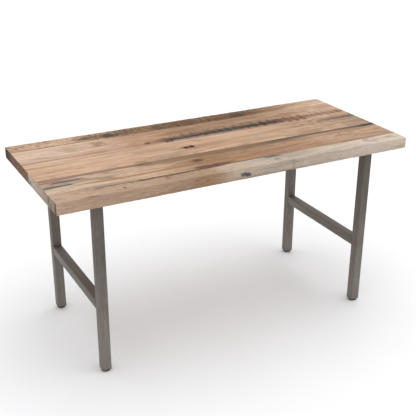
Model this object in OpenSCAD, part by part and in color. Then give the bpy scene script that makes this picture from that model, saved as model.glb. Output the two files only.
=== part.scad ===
// Desk with a solid board worktop on two welded steel frames, with screw-in levelling feet.
// Origin: on the floor below the centre of the worktop. +X runs along the length, to the right
// of a person who sits at the desk. +Y runs to the back edge and +Z is up. Millimetres.

/* [Worktop] */
// Length of the worktop, left to right
top_length = 1524; // [1450:1:1700]
// Depth of the worktop, front to back
top_depth = 652; // [640:1:700]
// Thickness of the worktop boards
top_thickness = 46; // [40:1:60]
// Height of the worktop above the floor, with the feet screwed right in
desk_height = 761; // [700:1:1100]
// Width of the back board
back_board_w = 86; // [80:1:92]
// Width of the board next to the back board
back_middle_board_w = 169; // [160:1:175]
// Width of the middle board
middle_board_w = 168; // [160:1:175]
// Width of the board next to the front board; the front board takes the rest of the depth
front_middle_board_w = 160; // [155:1:165]
// Radius worn on the outer long edges of the worktop
edge_r = 2; // [1:0.5:4]

/* [Frames] */
// Outside width of the square tube
tube_size = 38.1; // [35:0.1:42]
// Wall thickness of the square tube
tube_wall = 2; // [1.6:0.1:2.4]
// Outside corner radius of the square tube
tube_corner_r = 3; // [2.6:0.1:4]
// From each end of the worktop to the centre of the legs
leg_inset_x = 163.4; // [120:0.1:220]
// From the front and back edges of the worktop to the centre of the legs
leg_inset_y = 54.5; // [45:0.1:60]
// Height of the crossbar's centre above the floor
crossbar_height = 289.6; // [150:0.1:500]
// Width of the flat bar along the top of each frame
plate_w = 76.2; // [70:0.1:90]
// Thickness of that flat bar
plate_t = 6.35; // [5:0.05:8]
// Size of the fillet welds
weld_leg = 3.5; // [2:0.5:5]

/* [Fastenings] */
// Thread diameter of the screws that hold the worktop
screw_d = 8; // [6:1:8]
// Length of those screws under the head
screw_length = 25; // [20:1:30]
// Distance of the outer screws, front and back, from the middle of the flat bar
screw_reach_y = 205; // [190:1:215]
// Distance between the two rows of screws
screw_rows = 50; // [44:1:54]
// Diameter of the dowels in the board joints
dowel_d = 10; // [8:1:12]
// Length of those dowels
dowel_length = 60; // [40:1:70]
// Distance between dowels along a joint
dowel_pitch = 280; // [200:1:280]

/* [Levelling feet] */
// Diameter of the foot
foot_d = 35; // [32:0.5:37]
// Thread diameter of the foot's stem
stem_d = 8; // [6:1:10]
// Height of the top of the stem above the floor, screwed right in
stem_top = 40; // [34:1:44]
// Depth of the end plug inside the tube
plug_depth = 28; // [24:1:32]

/* [Hidden] */
$fn = 48;

LEFT = -1;
RIGHT = 1;
FRONT = -1;
BACK = 1;
cut = 1; // how far a cut runs past the face that it opens
wood_colour = "#c4a383";
steel_colour = "#6f6862";

// Worktop
top_underside = desk_height - top_thickness;
top_middle_z = desk_height - top_thickness / 2;
back_edge_y = top_depth / 2;
front_edge_y = -top_depth / 2;
back_joint_y = back_edge_y - back_board_w;
back_middle_joint_y = back_joint_y - back_middle_board_w;
middle_joint_y = back_middle_joint_y - middle_board_w;
front_joint_y = middle_joint_y - front_middle_board_w;
board_joints = [back_joint_y, back_middle_joint_y, middle_joint_y, front_joint_y];
dowel_glue_gap = 0.1;
dowel_columns = [-2.5, -1.5, -0.5, 0.5, 1.5, 2.5];

// Frames
leg_x = top_length / 2 - leg_inset_x;
leg_y = top_depth / 2 - leg_inset_y;
tube_inside = tube_size - 2 * tube_wall;
tube_inside_r = tube_corner_r - tube_wall;
tube_flat = tube_size - 2 * tube_corner_r;
tube_bottom = 9.7;
plate_underside = top_underside - plate_t;
plate_length = 2 * leg_y + tube_size;
crossbar_length = 2 * leg_y - tube_size;

// Fastenings
slot_w = screw_d + 1;
slot_length = 17;
insert_d = screw_d + 4.4;
insert_length = 18;
insert_hole_depth = 20;
thread_clearance = 0.05;
washer_d = 16;
washer_t = 1.6;
screw_head_d = 14;
screw_head_t = 4.4;
screw_socket_af = 5;
screw_socket_depth = 2.6;

// Levelling feet, from the floor up
sole_t = 2.4;
sole_pocket_floor = 1.2;
sole_bevel = 0.5;
cup_rim_top = 3.4;
cup_top = 5.4;
cup_top_d = 25;
cup_pocket_top = 4;
foot_pocket_d = 15.2;
stem_head_bottom = 1.5;
stem_head_top = 3.7;
stem_head_d = 14.4;
stem_neck_clearance = 0.6;
stem_hex_bottom = 5.8;
stem_hex_top = 8.2;
stem_hex_af = 13;
stem_end_bevel = 1;
plug_flange_bottom = 8.5;
plug_fit_gap = 0.05;
plug_wall = 2.4;
plug_boss_d = 17;
plug_web_t = 2.4;
plug_floor_t = 3;

// Distance across the corners of a hexagon, from the distance across its flats
function across_corners(across_flats) = across_flats / cos(30);

// A square outline with its four corners rounded by true arcs
module rounded_square(size, r) {
    straight = size - 2 * r;
    square([size, straight], center = true);
    square([straight, size], center = true);
    for (x = [-1, 1], y = [-1, 1])
        translate([x * straight / 2, y * straight / 2]) circle(r = r);
}

// Puts a part that is drawn on the Z axis under one leg
module at_leg(side, end) {
    translate([side * leg_x, end * leg_y, 0]) children();
}

// Puts a part that is drawn on the Z axis at each of a frame's six screws
module at_screws(side) {
    for (row = [-1, 1], along = [-1, 0, 1])
        translate([side * leg_x + row * screw_rows / 2, along * screw_reach_y, 0]) children();
}

// Worktop

// The section of a board, front edge at y_low and back edge at y_high, with the two outer long
// edges of the worktop eased
module board_section(y_low, y_high, ease_low, ease_high) {
    low = y_low + (ease_low ? edge_r : 0);
    high = y_high - (ease_high ? edge_r : 0);
    translate([low, 0]) square([high - low, top_thickness]);
    translate([y_low, edge_r]) square([y_high - y_low, top_thickness - 2 * edge_r]);
    eased = concat(ease_low ? [low] : [], ease_high ? [high] : []);
    for (y = eased, z = [edge_r, top_thickness - edge_r])
        translate([y, z]) circle(r = edge_r);
}

module dowel_holes(joint_y) {
    for (column = dowel_columns)
        translate([column * dowel_pitch, joint_y, top_middle_z])
            rotate([90, 0, 0])
                cylinder(d = dowel_d + 2 * dowel_glue_gap, h = dowel_length + 2, center = true);
}

module insert_holes() {
    for (side = [LEFT, RIGHT])
        at_screws(side)
            translate([0, 0, top_underside - cut])
                cylinder(d = insert_d + 2 * thread_clearance, h = insert_hole_depth + cut);
}

// A board of the worktop, bored for the dowels of the joints that it shares and for the inserts
module board(y_low, y_high, joints, ease_low = false, ease_high = false) {
    color(wood_colour)
        difference() {
            translate([-top_length / 2, 0, top_underside])
                rotate([90, 0, 90])
                    linear_extrude(top_length)
                        board_section(y_low, y_high, ease_low, ease_high);
            for (joint_y = joints)
                dowel_holes(joint_y);
            insert_holes();
        }
}

module back_board() {
    board(back_joint_y, back_edge_y, [back_joint_y], ease_high = true);
}

module back_middle_board() {
    board(back_middle_joint_y, back_joint_y, [back_middle_joint_y, back_joint_y]);
}

module middle_board() {
    board(middle_joint_y, back_middle_joint_y, [middle_joint_y, back_middle_joint_y]);
}

module front_middle_board() {
    board(front_joint_y, middle_joint_y, [front_joint_y, middle_joint_y]);
}

module front_board() {
    board(front_edge_y, front_joint_y, [front_joint_y], ease_low = true);
}

// Fluted beech dowels across the glued joints, at mid thickness
module alignment_dowels() {
    color("#d9bd8e")
        for (joint_y = board_joints, column = dowel_columns)
            translate([column * dowel_pitch, joint_y, top_middle_z])
                rotate([90, 0, 0])
                    cylinder(d = dowel_d, h = dowel_length, center = true);
}

// Frames

// A leg of square tube, open at both ends
module leg(side, end) {
    color(steel_colour)
        at_leg(side, end)
            translate([0, 0, tube_bottom])
                linear_extrude(plate_underside - tube_bottom)
                    difference() {
                        rounded_square(tube_size, tube_corner_r);
                        rounded_square(tube_inside, tube_inside_r);
                    }
}

// The crossbar of square tube, cut square and butted between a frame's two legs
module crossbar(side) {
    color(steel_colour)
        translate([side * leg_x, crossbar_length / 2, crossbar_height])
            rotate([90, 0, 0])
                linear_extrude(crossbar_length)
                    difference() {
                        rounded_square(tube_size, tube_corner_r);
                        rounded_square(tube_inside, tube_inside_r);
                    }
}

// A slot for a screw, long across the boards so that the worktop can swell and shrink
module slot_outline() {
    straight = slot_length - slot_w;
    square([slot_w, straight], center = true);
    for (end = [-1, 1])
        translate([0, end * straight / 2]) circle(d = slot_w);
}

// The flat bar that lies under the worktop and over a frame's two legs
module top_bar(side) {
    color(steel_colour)
        difference() {
            translate([side * leg_x - plate_w / 2, -plate_length / 2, plate_underside])
                cube([plate_w, plate_length, plate_t]);
            at_screws(side)
                translate([0, 0, plate_underside - cut])
                    linear_extrude(plate_t + 2 * cut) slot_outline();
        }
}

// A straight fillet weld along X, filling the corner between the XY and XZ planes
module fillet_weld(length) {
    rotate([90, 0, 90])
        linear_extrude(length, center = true)
            polygon([[0, 0], [weld_leg, 0], [0, weld_leg]]);
}

// Welds of one frame: above and below each end of the crossbar, and round three sides of each
// leg's top. The fourth side and the crossbar's cheeks are welded flush and ground.
module welds(side) {
    color("#57524e")
        for (end = [FRONT, BACK]) {
            inner_y = end * (leg_y - tube_size / 2);
            for (face = [-1, 1])
                translate([side * leg_x, inner_y, crossbar_height + face * tube_size / 2])
                    facing(end, face) fillet_weld(tube_flat);
            translate([side * leg_x, inner_y, plate_underside])
                facing(end, -1) fillet_weld(tube_flat);
            for (cheek = [-1, 1])
                translate([side * leg_x + cheek * tube_size / 2, end * leg_y, plate_underside])
                    rotate([0, 0, -cheek * 90]) facing(-1, -1) fillet_weld(tube_flat);
        }
}

// Mirrors a weld so that it grows away from a leg (along Y) and off a face (along Z)
module facing(end, face) {
    mirror([0, end > 0 ? 1 : 0, 0]) mirror([0, 0, face < 0 ? 1 : 0]) children();
}

// Fastenings

// Button-head machine screws with a hexagon socket, up through the flat bar into the inserts
module top_screws(side) {
    head_top = plate_underside - washer_t;
    color("#8d8f91")
        at_screws(side)
            difference() {
                union() {
                    translate([0, 0, head_top - screw_head_t])
                        cylinder(d1 = screw_head_d - 5, d2 = screw_head_d, h = screw_head_t);
                    translate([0, 0, head_top - cut]) cylinder(d = screw_d, h = screw_length + cut);
                }
                translate([0, 0, head_top - screw_head_t - cut])
                    cylinder(d = across_corners(screw_socket_af), h = screw_socket_depth + cut,
                        $fn = 6);
            }
}

module top_washers(side) {
    color("#9a9c9e")
        at_screws(side)
            translate([0, 0, plate_underside - washer_t])
                difference() {
                    cylinder(d = washer_d, h = washer_t);
                    translate([0, 0, -cut]) cylinder(d = screw_d + 0.4, h = washer_t + 2 * cut);
                }
}

// Threaded brass inserts, screwed into blind holes in the underside of the boards
module threaded_inserts(side) {
    color("#b08d4a")
        at_screws(side)
            translate([0, 0, top_underside])
                difference() {
                    cylinder(d = insert_d, h = insert_length);
                    translate([0, 0, -cut])
                        cylinder(d = screw_d + 2 * thread_clearance, h = insert_length + 2 * cut);
                }
}

// Levelling feet

// Square plastic plug, pressed into the bottom of a leg, with a threaded boss for the stem
module end_plug(side, end) {
    body = tube_inside - 2 * plug_fit_gap;
    bore_d = stem_d + 2 * thread_clearance;
    color("#1d1d1e")
        at_leg(side, end)
            difference() {
                union() {
                    translate([0, 0, plug_flange_bottom])
                        linear_extrude(tube_bottom - plug_flange_bottom)
                            rounded_square(tube_size - 0.6, tube_corner_r);
                    translate([0, 0, tube_bottom - cut])
                        linear_extrude(plug_floor_t + cut) rounded_square(body, tube_inside_r);
                    translate([0, 0, tube_bottom])
                        linear_extrude(plug_depth)
                            difference() {
                                rounded_square(body, tube_inside_r);
                                square(body - 2 * plug_wall, center = true);
                            }
                    translate([0, 0, tube_bottom]) cylinder(d = plug_boss_d, h = plug_depth);
                    for (turn = [0, 90])
                        rotate([0, 0, turn])
                            translate([-body / 2 + plug_wall / 2, -plug_web_t / 2, tube_bottom])
                                cube([body - plug_wall, plug_web_t, plug_depth]);
                }
                translate([0, 0, plug_flange_bottom - cut])
                    cylinder(d = bore_d, h = plug_depth + tube_bottom);
            }
}

// Steel stem: a round head held in the foot, hexagon flats to turn it by, and the thread
module foot_stem(side, end) {
    neck_bottom = stem_head_top - cut;
    color("#a5a7a8")
        at_leg(side, end) {
            translate([0, 0, stem_head_bottom])
                cylinder(d = stem_head_d, h = stem_head_top - stem_head_bottom);
            translate([0, 0, neck_bottom])
                cylinder(d = stem_d, h = stem_top - stem_end_bevel - neck_bottom);
            translate([0, 0, stem_top - stem_end_bevel])
                cylinder(d1 = stem_d, d2 = stem_d - 2 * stem_end_bevel, h = stem_end_bevel);
            translate([0, 0, stem_hex_bottom])
                cylinder(d = across_corners(stem_hex_af), h = stem_hex_top - stem_hex_bottom,
                    $fn = 6);
        }
}

// Pressed steel cup over the sole, which keeps the stem's head in the foot
module foot_cup(side, end) {
    color("#8f8b86")
        at_leg(side, end)
            difference() {
                union() {
                    translate([0, 0, sole_t]) cylinder(d = foot_d, h = cup_rim_top - sole_t);
                    translate([0, 0, cup_rim_top])
                        cylinder(d1 = foot_d, d2 = cup_top_d, h = cup_top - cup_rim_top);
                }
                translate([0, 0, sole_t - cut])
                    cylinder(d = foot_pocket_d, h = cup_pocket_top - sole_t + cut);
                cylinder(d = stem_d + 2 * stem_neck_clearance, h = cup_top + cut);
            }
}

// Moulded nylon sole, which rests on the floor
module foot_sole(side, end) {
    color("#232325")
        at_leg(side, end)
            difference() {
                union() {
                    cylinder(d1 = foot_d - 2 * sole_bevel, d2 = foot_d, h = sole_bevel);
                    translate([0, 0, sole_bevel]) cylinder(d = foot_d, h = sole_t - sole_bevel);
                }
                translate([0, 0, sole_pocket_floor]) cylinder(d = foot_pocket_d, h = sole_t);
            }
}

back_board();
back_middle_board();
middle_board();
front_middle_board();
front_board();
alignment_dowels();

leg(LEFT, FRONT);  // leg_front_left
leg(LEFT, BACK);  // leg_back_left
leg(RIGHT, FRONT);  // leg_front_right
leg(RIGHT, BACK);  // leg_back_right
crossbar(LEFT);  // crossbar_left
crossbar(RIGHT);  // crossbar_right
top_bar(LEFT);  // top_bar_left
top_bar(RIGHT);  // top_bar_right
welds(LEFT);  // welds_left
welds(RIGHT);  // welds_right

top_screws(LEFT);  // top_screws_left
top_screws(RIGHT);  // top_screws_right
top_washers(LEFT);  // top_washers_left
top_washers(RIGHT);  // top_washers_right
threaded_inserts(LEFT);  // threaded_inserts_left
threaded_inserts(RIGHT);  // threaded_inserts_right

end_plug(LEFT, FRONT);  // end_plug_front_left
end_plug(LEFT, BACK);  // end_plug_back_left
end_plug(RIGHT, FRONT);  // end_plug_front_right
end_plug(RIGHT, BACK);  // end_plug_back_right
foot_stem(LEFT, FRONT);  // foot_stem_front_left
foot_stem(LEFT, BACK);  // foot_stem_back_left
foot_stem(RIGHT, FRONT);  // foot_stem_front_right
foot_stem(RIGHT, BACK);  // foot_stem_back_right
foot_cup(LEFT, FRONT);  // foot_cup_front_left
foot_cup(LEFT, BACK);  // foot_cup_back_left
foot_cup(RIGHT, FRONT);  // foot_cup_front_right
foot_cup(RIGHT, BACK);  // foot_cup_back_right
foot_sole(LEFT, FRONT);  // foot_sole_front_left
foot_sole(LEFT, BACK);  // foot_sole_back_left
foot_sole(RIGHT, FRONT);  // foot_sole_front_right
foot_sole(RIGHT, BACK);  // foot_sole_back_right
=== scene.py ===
import math

import bmesh
import bpy
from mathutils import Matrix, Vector


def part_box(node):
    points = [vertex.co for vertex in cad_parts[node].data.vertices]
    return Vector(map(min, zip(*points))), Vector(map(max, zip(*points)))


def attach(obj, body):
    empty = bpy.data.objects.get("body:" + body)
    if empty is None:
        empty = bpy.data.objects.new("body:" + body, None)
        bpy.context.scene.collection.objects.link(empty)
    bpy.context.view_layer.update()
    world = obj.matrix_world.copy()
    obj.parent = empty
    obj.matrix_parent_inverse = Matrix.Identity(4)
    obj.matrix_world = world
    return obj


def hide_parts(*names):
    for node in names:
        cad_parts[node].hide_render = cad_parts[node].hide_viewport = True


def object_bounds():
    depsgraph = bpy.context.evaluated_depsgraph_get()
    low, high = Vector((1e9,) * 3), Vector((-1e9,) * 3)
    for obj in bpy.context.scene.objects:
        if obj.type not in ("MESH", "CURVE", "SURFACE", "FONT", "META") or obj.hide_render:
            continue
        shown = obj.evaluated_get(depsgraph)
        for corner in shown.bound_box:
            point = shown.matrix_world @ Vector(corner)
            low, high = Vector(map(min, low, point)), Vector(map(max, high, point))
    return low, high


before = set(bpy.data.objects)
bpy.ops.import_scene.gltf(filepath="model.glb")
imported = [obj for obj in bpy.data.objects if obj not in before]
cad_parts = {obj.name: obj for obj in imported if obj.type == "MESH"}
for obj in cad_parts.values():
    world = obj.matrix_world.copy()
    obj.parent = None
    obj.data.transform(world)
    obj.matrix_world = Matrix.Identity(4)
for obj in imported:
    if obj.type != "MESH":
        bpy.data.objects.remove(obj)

cad_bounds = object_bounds()


# ---------------------------------------------------------------------------------------------
# Studio: a wide sheet of white paper on the floor, under a white sky that is brightest overhead,
# like a very large soft box. The camera stands at eye height, to the left of the desk's front.

FLOOR_SIZE = 60.0
SKY_STRENGTH = 0.41
SKY_TILT = (0.2, -0.3, 0.0)
OVERHEAD_STRENGTH = 1.58
OVERHEAD_AIM = (0.15, 0.08, 1.0)
OVERHEAD_SHARPNESS = 2.0
CAMERA_PLACE = (-1.4793, -2.7690, 1.8485)
CAMERA_TURN = (math.radians(65.008), 0.0, math.radians(-27.339))
CAMERA_LENS = 69.53
CAMERA_SHIFT = (0.0227, 0.0406)


def colour(code):
    """The linear values of a colour that is given as it looks on a screen."""
    parts = [int(code[i : i + 2], 16) / 255 for i in (1, 3, 5)]
    linear = [p / 12.92 if p <= 0.04045 else ((p + 0.055) / 1.055) ** 2.4 for p in parts]
    return (*linear, 1.0)


def feed(tree, socket, value):
    """Sets a socket to a value, or joins it to another socket."""
    if isinstance(value, bpy.types.NodeSocket):
        tree.links.new(value, socket)
    else:
        socket.default_value = value


def wire(tree, kind, inputs=None, **settings):
    """A new node, with its settings made and its inputs fed."""
    made = tree.nodes.new(kind)
    for name, value in settings.items():
        setattr(made, name, value)
    for name, value in (inputs or {}).items():
        feed(tree, made.inputs[name], value)
    return made


def sums(tree, operation, *values):
    """The result of a Math node."""
    return wire(tree, "ShaderNodeMath", dict(enumerate(values)), operation=operation).outputs[0]


def ease(tree, value, low, high, start=0.0, end=1.0):
    """Goes smoothly from start to end as value goes from low to high, and no further."""
    made = wire(tree, "ShaderNodeMapRange", interpolation_type="SMOOTHSTEP")
    for name, given in (("Value", value), ("From Min", low), ("From Max", high),
                        ("To Min", start), ("To Max", end)):
        feed(tree, made.inputs[name], given)
    return made.outputs[0]


def blend(tree, share, first, second, kind="MIX"):
    """A mix of two colours."""
    made = wire(tree, "ShaderNodeMix", data_type="RGBA", blend_type=kind)
    for index, given in ((0, share), (6, first), (7, second)):
        feed(tree, made.inputs[index], given)
    return made.outputs[2]


def noise(tree, vector, stretch=(1, 1, 1), detail=2.0, rough=0.5):
    """A noise from 0 to 1 with so many lumps to a metre along each axis."""
    scaled = wire(tree, "ShaderNodeMapping", {"Vector": vector, "Scale": stretch}).outputs[0]
    made = wire(tree, "ShaderNodeTexNoise",
                {"Vector": scaled, "Scale": 1.0, "Detail": detail, "Roughness": rough})
    return made.outputs["Fac"]


def new_material(name, roughness=0.5, metallic=0.0):
    """A material: itself, its tree, its shader and the object's coordinates."""
    material = bpy.data.materials.new(name)
    material.use_nodes = True
    tree = material.node_tree
    shader = tree.nodes["Principled BSDF"]
    shader.inputs["Roughness"].default_value = roughness
    shader.inputs["Metallic"].default_value = metallic
    place = tree.nodes.new("ShaderNodeTexCoord").outputs["Object"]
    return material, tree, shader, place


def raise_surface(tree, shader, height, distance, strength=1.0):
    """Bump: height 1 stands that distance above height 0."""
    made = wire(tree, "ShaderNodeBump",
                {"Strength": strength, "Distance": distance, "Height": height})
    tree.links.new(made.outputs[0], shader.inputs["Normal"])


def dress(piece, material):
    """Puts one material in every slot of a piece."""
    if not piece.data.materials:
        piece.data.materials.append(material)
    for index in range(len(piece.data.materials)):
        piece.data.materials[index] = material


def deselect():
    """Leaves nothing selected."""
    for each in bpy.context.selected_objects:
        each.select_set(False)


deselect()
bpy.ops.mesh.primitive_plane_add(size=FLOOR_SIZE, location=(0, 0, 0))
floor = bpy.context.object
floor.name = "studio_floor"
material, tree, shader, place = new_material("white_paper", roughness=0.9)
cloud = noise(tree, place, stretch=(3, 3, 3))
feed(tree, shader.inputs["Base Color"], blend(tree, cloud, colour("#f2f3f5"), colour("#f6f7f9")))
raise_surface(tree, shader, noise(tree, place, stretch=(900, 900, 900)), 0.00005)
dress(floor, material)

sky = bpy.data.worlds.new("white_sky")
bpy.context.scene.world = sky
sky.use_nodes = True
tree = sky.node_tree
way = tree.nodes.new("ShaderNodeTexCoord").outputs["Generated"]
facing = wire(tree, "ShaderNodeVectorMath", {0: way, 1: Vector(OVERHEAD_AIM).normalized()},
              operation="DOT_PRODUCT").outputs["Value"]
glow = sums(tree, "POWER", sums(tree, "MAXIMUM", facing, 0.0), OVERHEAD_SHARPNESS)
tilt = wire(tree, "ShaderNodeVectorMath", {0: way, 1: SKY_TILT},
            operation="DOT_PRODUCT").outputs["Value"]
around = sums(tree, "MULTIPLY_ADD", tilt, SKY_STRENGTH, SKY_STRENGTH)
strength = sums(tree, "MULTIPLY_ADD", glow, OVERHEAD_STRENGTH, around)
background = tree.nodes["Background"]
background.inputs["Color"].default_value = (1, 1, 1, 1)
feed(tree, background.inputs["Strength"], strength)

camera = bpy.data.objects.new("camera", bpy.data.cameras.new("camera"))
bpy.context.scene.collection.objects.link(camera)
camera.location = CAMERA_PLACE
camera.rotation_euler = CAMERA_TURN
camera.data.lens = CAMERA_LENS
camera.data.shift_x, camera.data.shift_y = CAMERA_SHIFT
bpy.context.scene.camera = camera
bpy.context.scene.view_settings.view_transform = "Standard"


# ---------------------------------------------------------------------------------------------
# Worktop: five boards of reclaimed hardwood, 46 mm thick, planed but left with their old saw
# marks, checks, knots and stains, and glued edge to edge. Each is cut from its CAD board's box.
# Marks are placed by how far they are from the worktop's left end, from its back edge and down.

GRID = 0.003
ARRIS = 0.002
SEAM_SOFTENING = 0.2
END_SOFTENING = 0.5
WORN_BAND = 0.004
DOWEL_HOLE = 0.0051
DOWEL_HOLE_LENGTH = 0.062
DOWEL_PITCH = 0.28
DOWELS_TO_A_JOINT = 6
INSERT_HOLE = 0.0063
INSERT_HOLE_DEPTH = 0.021
INSERT_RADIUS = 0.0062
HALF_LENGTH = 0.762
LEFT_END = cad_bounds[0].x
BACK_EDGE = cad_bounds[1].y
TOP_FACE = cad_bounds[1].z


def from_corner(along, across, down=0.0):
    """The point that is so far from the left end, from the back edge and below the top."""
    return Vector((LEFT_END + along, BACK_EDGE - across, TOP_FACE - down))


def lies_along(edge, axis):
    """True where an edge is parallel to an axis."""
    way = edge.verts[1].co - edge.verts[0].co
    return abs(way[axis]) > 0.999 * way.length


def choose(piece):
    """Makes a piece the only one selected, and the active one."""
    deselect()
    piece.select_set(True)
    bpy.context.view_layer.objects.active = piece


def slice_across(piece, axis, pieces):
    """Cuts every edge that is parallel to an axis into so many equal lengths."""
    choose(piece)
    bpy.ops.object.mode_set(mode="EDIT")
    bpy.ops.mesh.select_mode(type="EDGE")
    cuts = [round(pieces ** 0.5)] * 2 if pieces > 100 else [pieces]
    for count in cuts:
        bpy.ops.mesh.select_all(action="DESELECT")
        mesh = bmesh.from_edit_mesh(piece.data)
        for edge in mesh.edges:
            if lies_along(edge, axis):
                edge.select_set(True)
        bmesh.update_edit_mesh(piece.data)
        if count > 1:
            bpy.ops.mesh.subdivide(number_cuts=count - 1)
    bpy.ops.object.mode_set(mode="OBJECT")


def apply_modifier(piece, kind, **settings):
    """Adds a modifier with these settings and applies it."""
    choose(piece)
    modifier = piece.modifiers.new(kind.lower(), kind)
    for name, value in settings.items():
        setattr(modifier, name, value)
    bpy.ops.object.modifier_apply(modifier=modifier.name)


def settle(piece):
    """Moves a piece's place, turn and size into its mesh."""
    choose(piece)
    bpy.ops.object.transform_apply(location=True, rotation=True, scale=True)


def weigh(piece, name, weight_at):
    """A vertex group whose weights are given by a function of place and normal."""
    group = piece.vertex_groups.new(name=name)
    for vertex in piece.data.vertices:
        weight = weight_at(vertex.co, vertex.normal)
        if weight > 0.001:
            group.add([vertex.index], min(weight, 1.0), "REPLACE")
    return group.name


def wear(piece, kind, depth, lump, group="", **settings):
    """Wears a surface down by up to a depth, in a pattern whose lumps have this size in x, y, z."""
    texture = bpy.data.textures.new(piece.name + "_wear", kind)
    for name, value in settings.items():
        setattr(texture, name, value)
    frame_of_texture = bpy.data.objects.new("texture_frame", None)
    bpy.context.scene.collection.objects.link(frame_of_texture)
    frame_of_texture.scale = lump
    frame_of_texture.location = piece["texture_origin"]
    bpy.context.view_layer.update()
    apply_modifier(piece, "DISPLACE", texture=texture, texture_coords="OBJECT",
                   texture_coords_object=frame_of_texture, direction="NORMAL", mid_level=1.0,
                   strength=depth, vertex_group=group)
    bpy.data.objects.remove(frame_of_texture)
    bpy.data.textures.remove(texture)


def trim(piece, low, high):
    """Brings back whatever stands out of a box, so that wear only ever takes away."""
    for vertex in piece.data.vertices:
        for axis in range(3):
            vertex.co[axis] = max(low[axis], min(high[axis], vertex.co[axis]))


def saw_board(node, front_arris=SEAM_SOFTENING, back_arris=SEAM_SOFTENING):
    """A board: a box with softened edges, in a fine grid, with planing waves and worn edges."""
    low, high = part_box(node)
    deselect()
    bpy.ops.mesh.primitive_cube_add(size=1, location=(low + high) / 2, scale=high - low)
    piece = bpy.context.object
    piece.name = node + "_timber"
    settle(piece)
    piece["texture_origin"] = (0.31 * low.y, 0.7 * high.y, 0.0)
    softness = piece.data.attributes.new("bevel_weight_edge", "FLOAT", "EDGE")
    for edge in piece.data.edges:
        ends = [piece.data.vertices[index].co for index in edge.vertices]
        middle = (ends[0] + ends[1]) / 2
        runs_along = abs(ends[0].x - ends[1].x) > 0.1
        arris = front_arris if middle.y < (low.y + high.y) / 2 else back_arris
        softness.data[edge.index].value = arris if runs_along else END_SOFTENING
    apply_modifier(piece, "BEVEL", width=ARRIS, segments=3, limit_method="WEIGHT",
                   offset_type="OFFSET", use_clamp_overlap=False)
    choose(piece)
    for axis in range(3):
        slice_across(piece, axis, round((high[axis] - low[axis]) / GRID))

    def on_show(point, normal):
        """Joint faces stay flat, so that the boards meet."""
        in_joint = abs(normal.y) > 0.9 and abs(point.y) < BACK_EDGE - 0.01
        return 0.0 if in_joint else 1.0

    shown = weigh(piece, "shown", on_show)
    wear(piece, "CLOUDS", 0.00035, (0.30, 0.012, 0.012), shown, noise_scale=1.0, noise_depth=2)
    wear(piece, "CLOUDS", 0.00025, (0.06, 0.0035, 0.0035), shown, noise_scale=1.0, noise_depth=1)

    def near_edge(point, normal):
        """The outer edges and corners are knocked about."""
        ends = abs(point.x) - (HALF_LENGTH - WORN_BAND)
        sides = abs(point.y) - (BACK_EDGE - WORN_BAND)
        return max(0.0, min(1.0, max(ends, sides) / 0.003)) if abs(normal.z) > 0.3 else 0.0

    knocked = weigh(piece, "knocked", near_edge)
    wear(piece, "CLOUDS", 0.0011, (0.020, 0.020, 0.010), knocked, noise_scale=1.0,
         noise_depth=3, contrast=2.0, intensity=1.2)
    trim(piece, low, high)
    return piece


def rough_sawn(piece, depth, weight_at, pitch=0.0045):
    """Ripples across the grain, as a saw leaves them, where weight_at says."""
    group = weigh(piece, "sawn", weight_at)
    wear(piece, "WOOD", depth, (pitch / 0.628, 0.35, 0.35), group, wood_type="BANDNOISE",
         noise_scale=0.25, turbulence=2.0)
    trim(piece, *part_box(piece.name.replace("_timber", "")))


def cutter(shape, place, size, turn=0.0):
    """A solid to cut with: a ball or a peg, of this size in x, y and z, turned about z."""
    deselect()
    if shape == "ball":
        bpy.ops.mesh.primitive_uv_sphere_add(segments=28, ring_count=14, radius=0.5, location=place)
    else:
        bpy.ops.mesh.primitive_cylinder_add(vertices=24, radius=0.5, depth=1, location=place)
    tool = bpy.context.object
    tool.scale = size
    tool.rotation_euler.z = turn
    settle(tool)
    return tool


def join_pieces(pieces):
    """Makes one piece of several, and returns it."""
    deselect()
    for piece in pieces:
        piece.select_set(True)
    bpy.context.view_layer.objects.active = pieces[0]
    if len(pieces) > 1:
        bpy.ops.object.join()
    return bpy.context.object


def carve(piece, tools):
    """Cuts a board with tools, which are used up."""
    joined = join_pieces(tools)
    apply_modifier(piece, "BOOLEAN", object=joined, operation="DIFFERENCE", solver="EXACT")
    bpy.data.objects.remove(joined)


def bore(piece, node):
    """Drills a board for its dowels and inserts, where the CAD has them."""
    low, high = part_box(node)
    tools = []
    dowel_low, dowel_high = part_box("alignment_dowels")
    for side in (low.y, high.y):
        if abs(side) < BACK_EDGE - 0.01:
            for count in range(DOWELS_TO_A_JOINT):
                x = dowel_low.x + DOWEL_HOLE + count * DOWEL_PITCH
                peg = cutter("peg", (0, 0, 0),
                             (2 * DOWEL_HOLE, 2 * DOWEL_HOLE, DOWEL_HOLE_LENGTH))
                peg.rotation_euler.x = math.radians(90)
                peg.location = (x, side, (dowel_low.z + dowel_high.z) / 2)
                settle(peg)
                tools.append(peg)
    for group in ("threaded_inserts_left", "threaded_inserts_right"):
        insert_low, insert_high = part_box(group)
        rows = [insert_low.y + INSERT_RADIUS, (insert_low.y + insert_high.y) / 2,
                insert_high.y - INSERT_RADIUS]
        for row in rows:
            if low.y < row < high.y:
                for x in (insert_low.x + INSERT_RADIUS, insert_high.x - INSERT_RADIUS):
                    hole = cutter("peg", (x, row, insert_low.z + 0.0085),
                                  (2 * INSERT_HOLE, 2 * INSERT_HOLE, INSERT_HOLE_DEPTH))
                    tools.append(hole)
    carve(piece, tools)


def finish_board(piece, node, material):
    """Shades a board and puts it in its CAD board's place."""
    choose(piece)
    bpy.ops.object.shade_smooth_by_angle(angle=math.radians(35))
    dress(piece, material)
    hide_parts(node)
    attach(piece, "desk")


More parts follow.
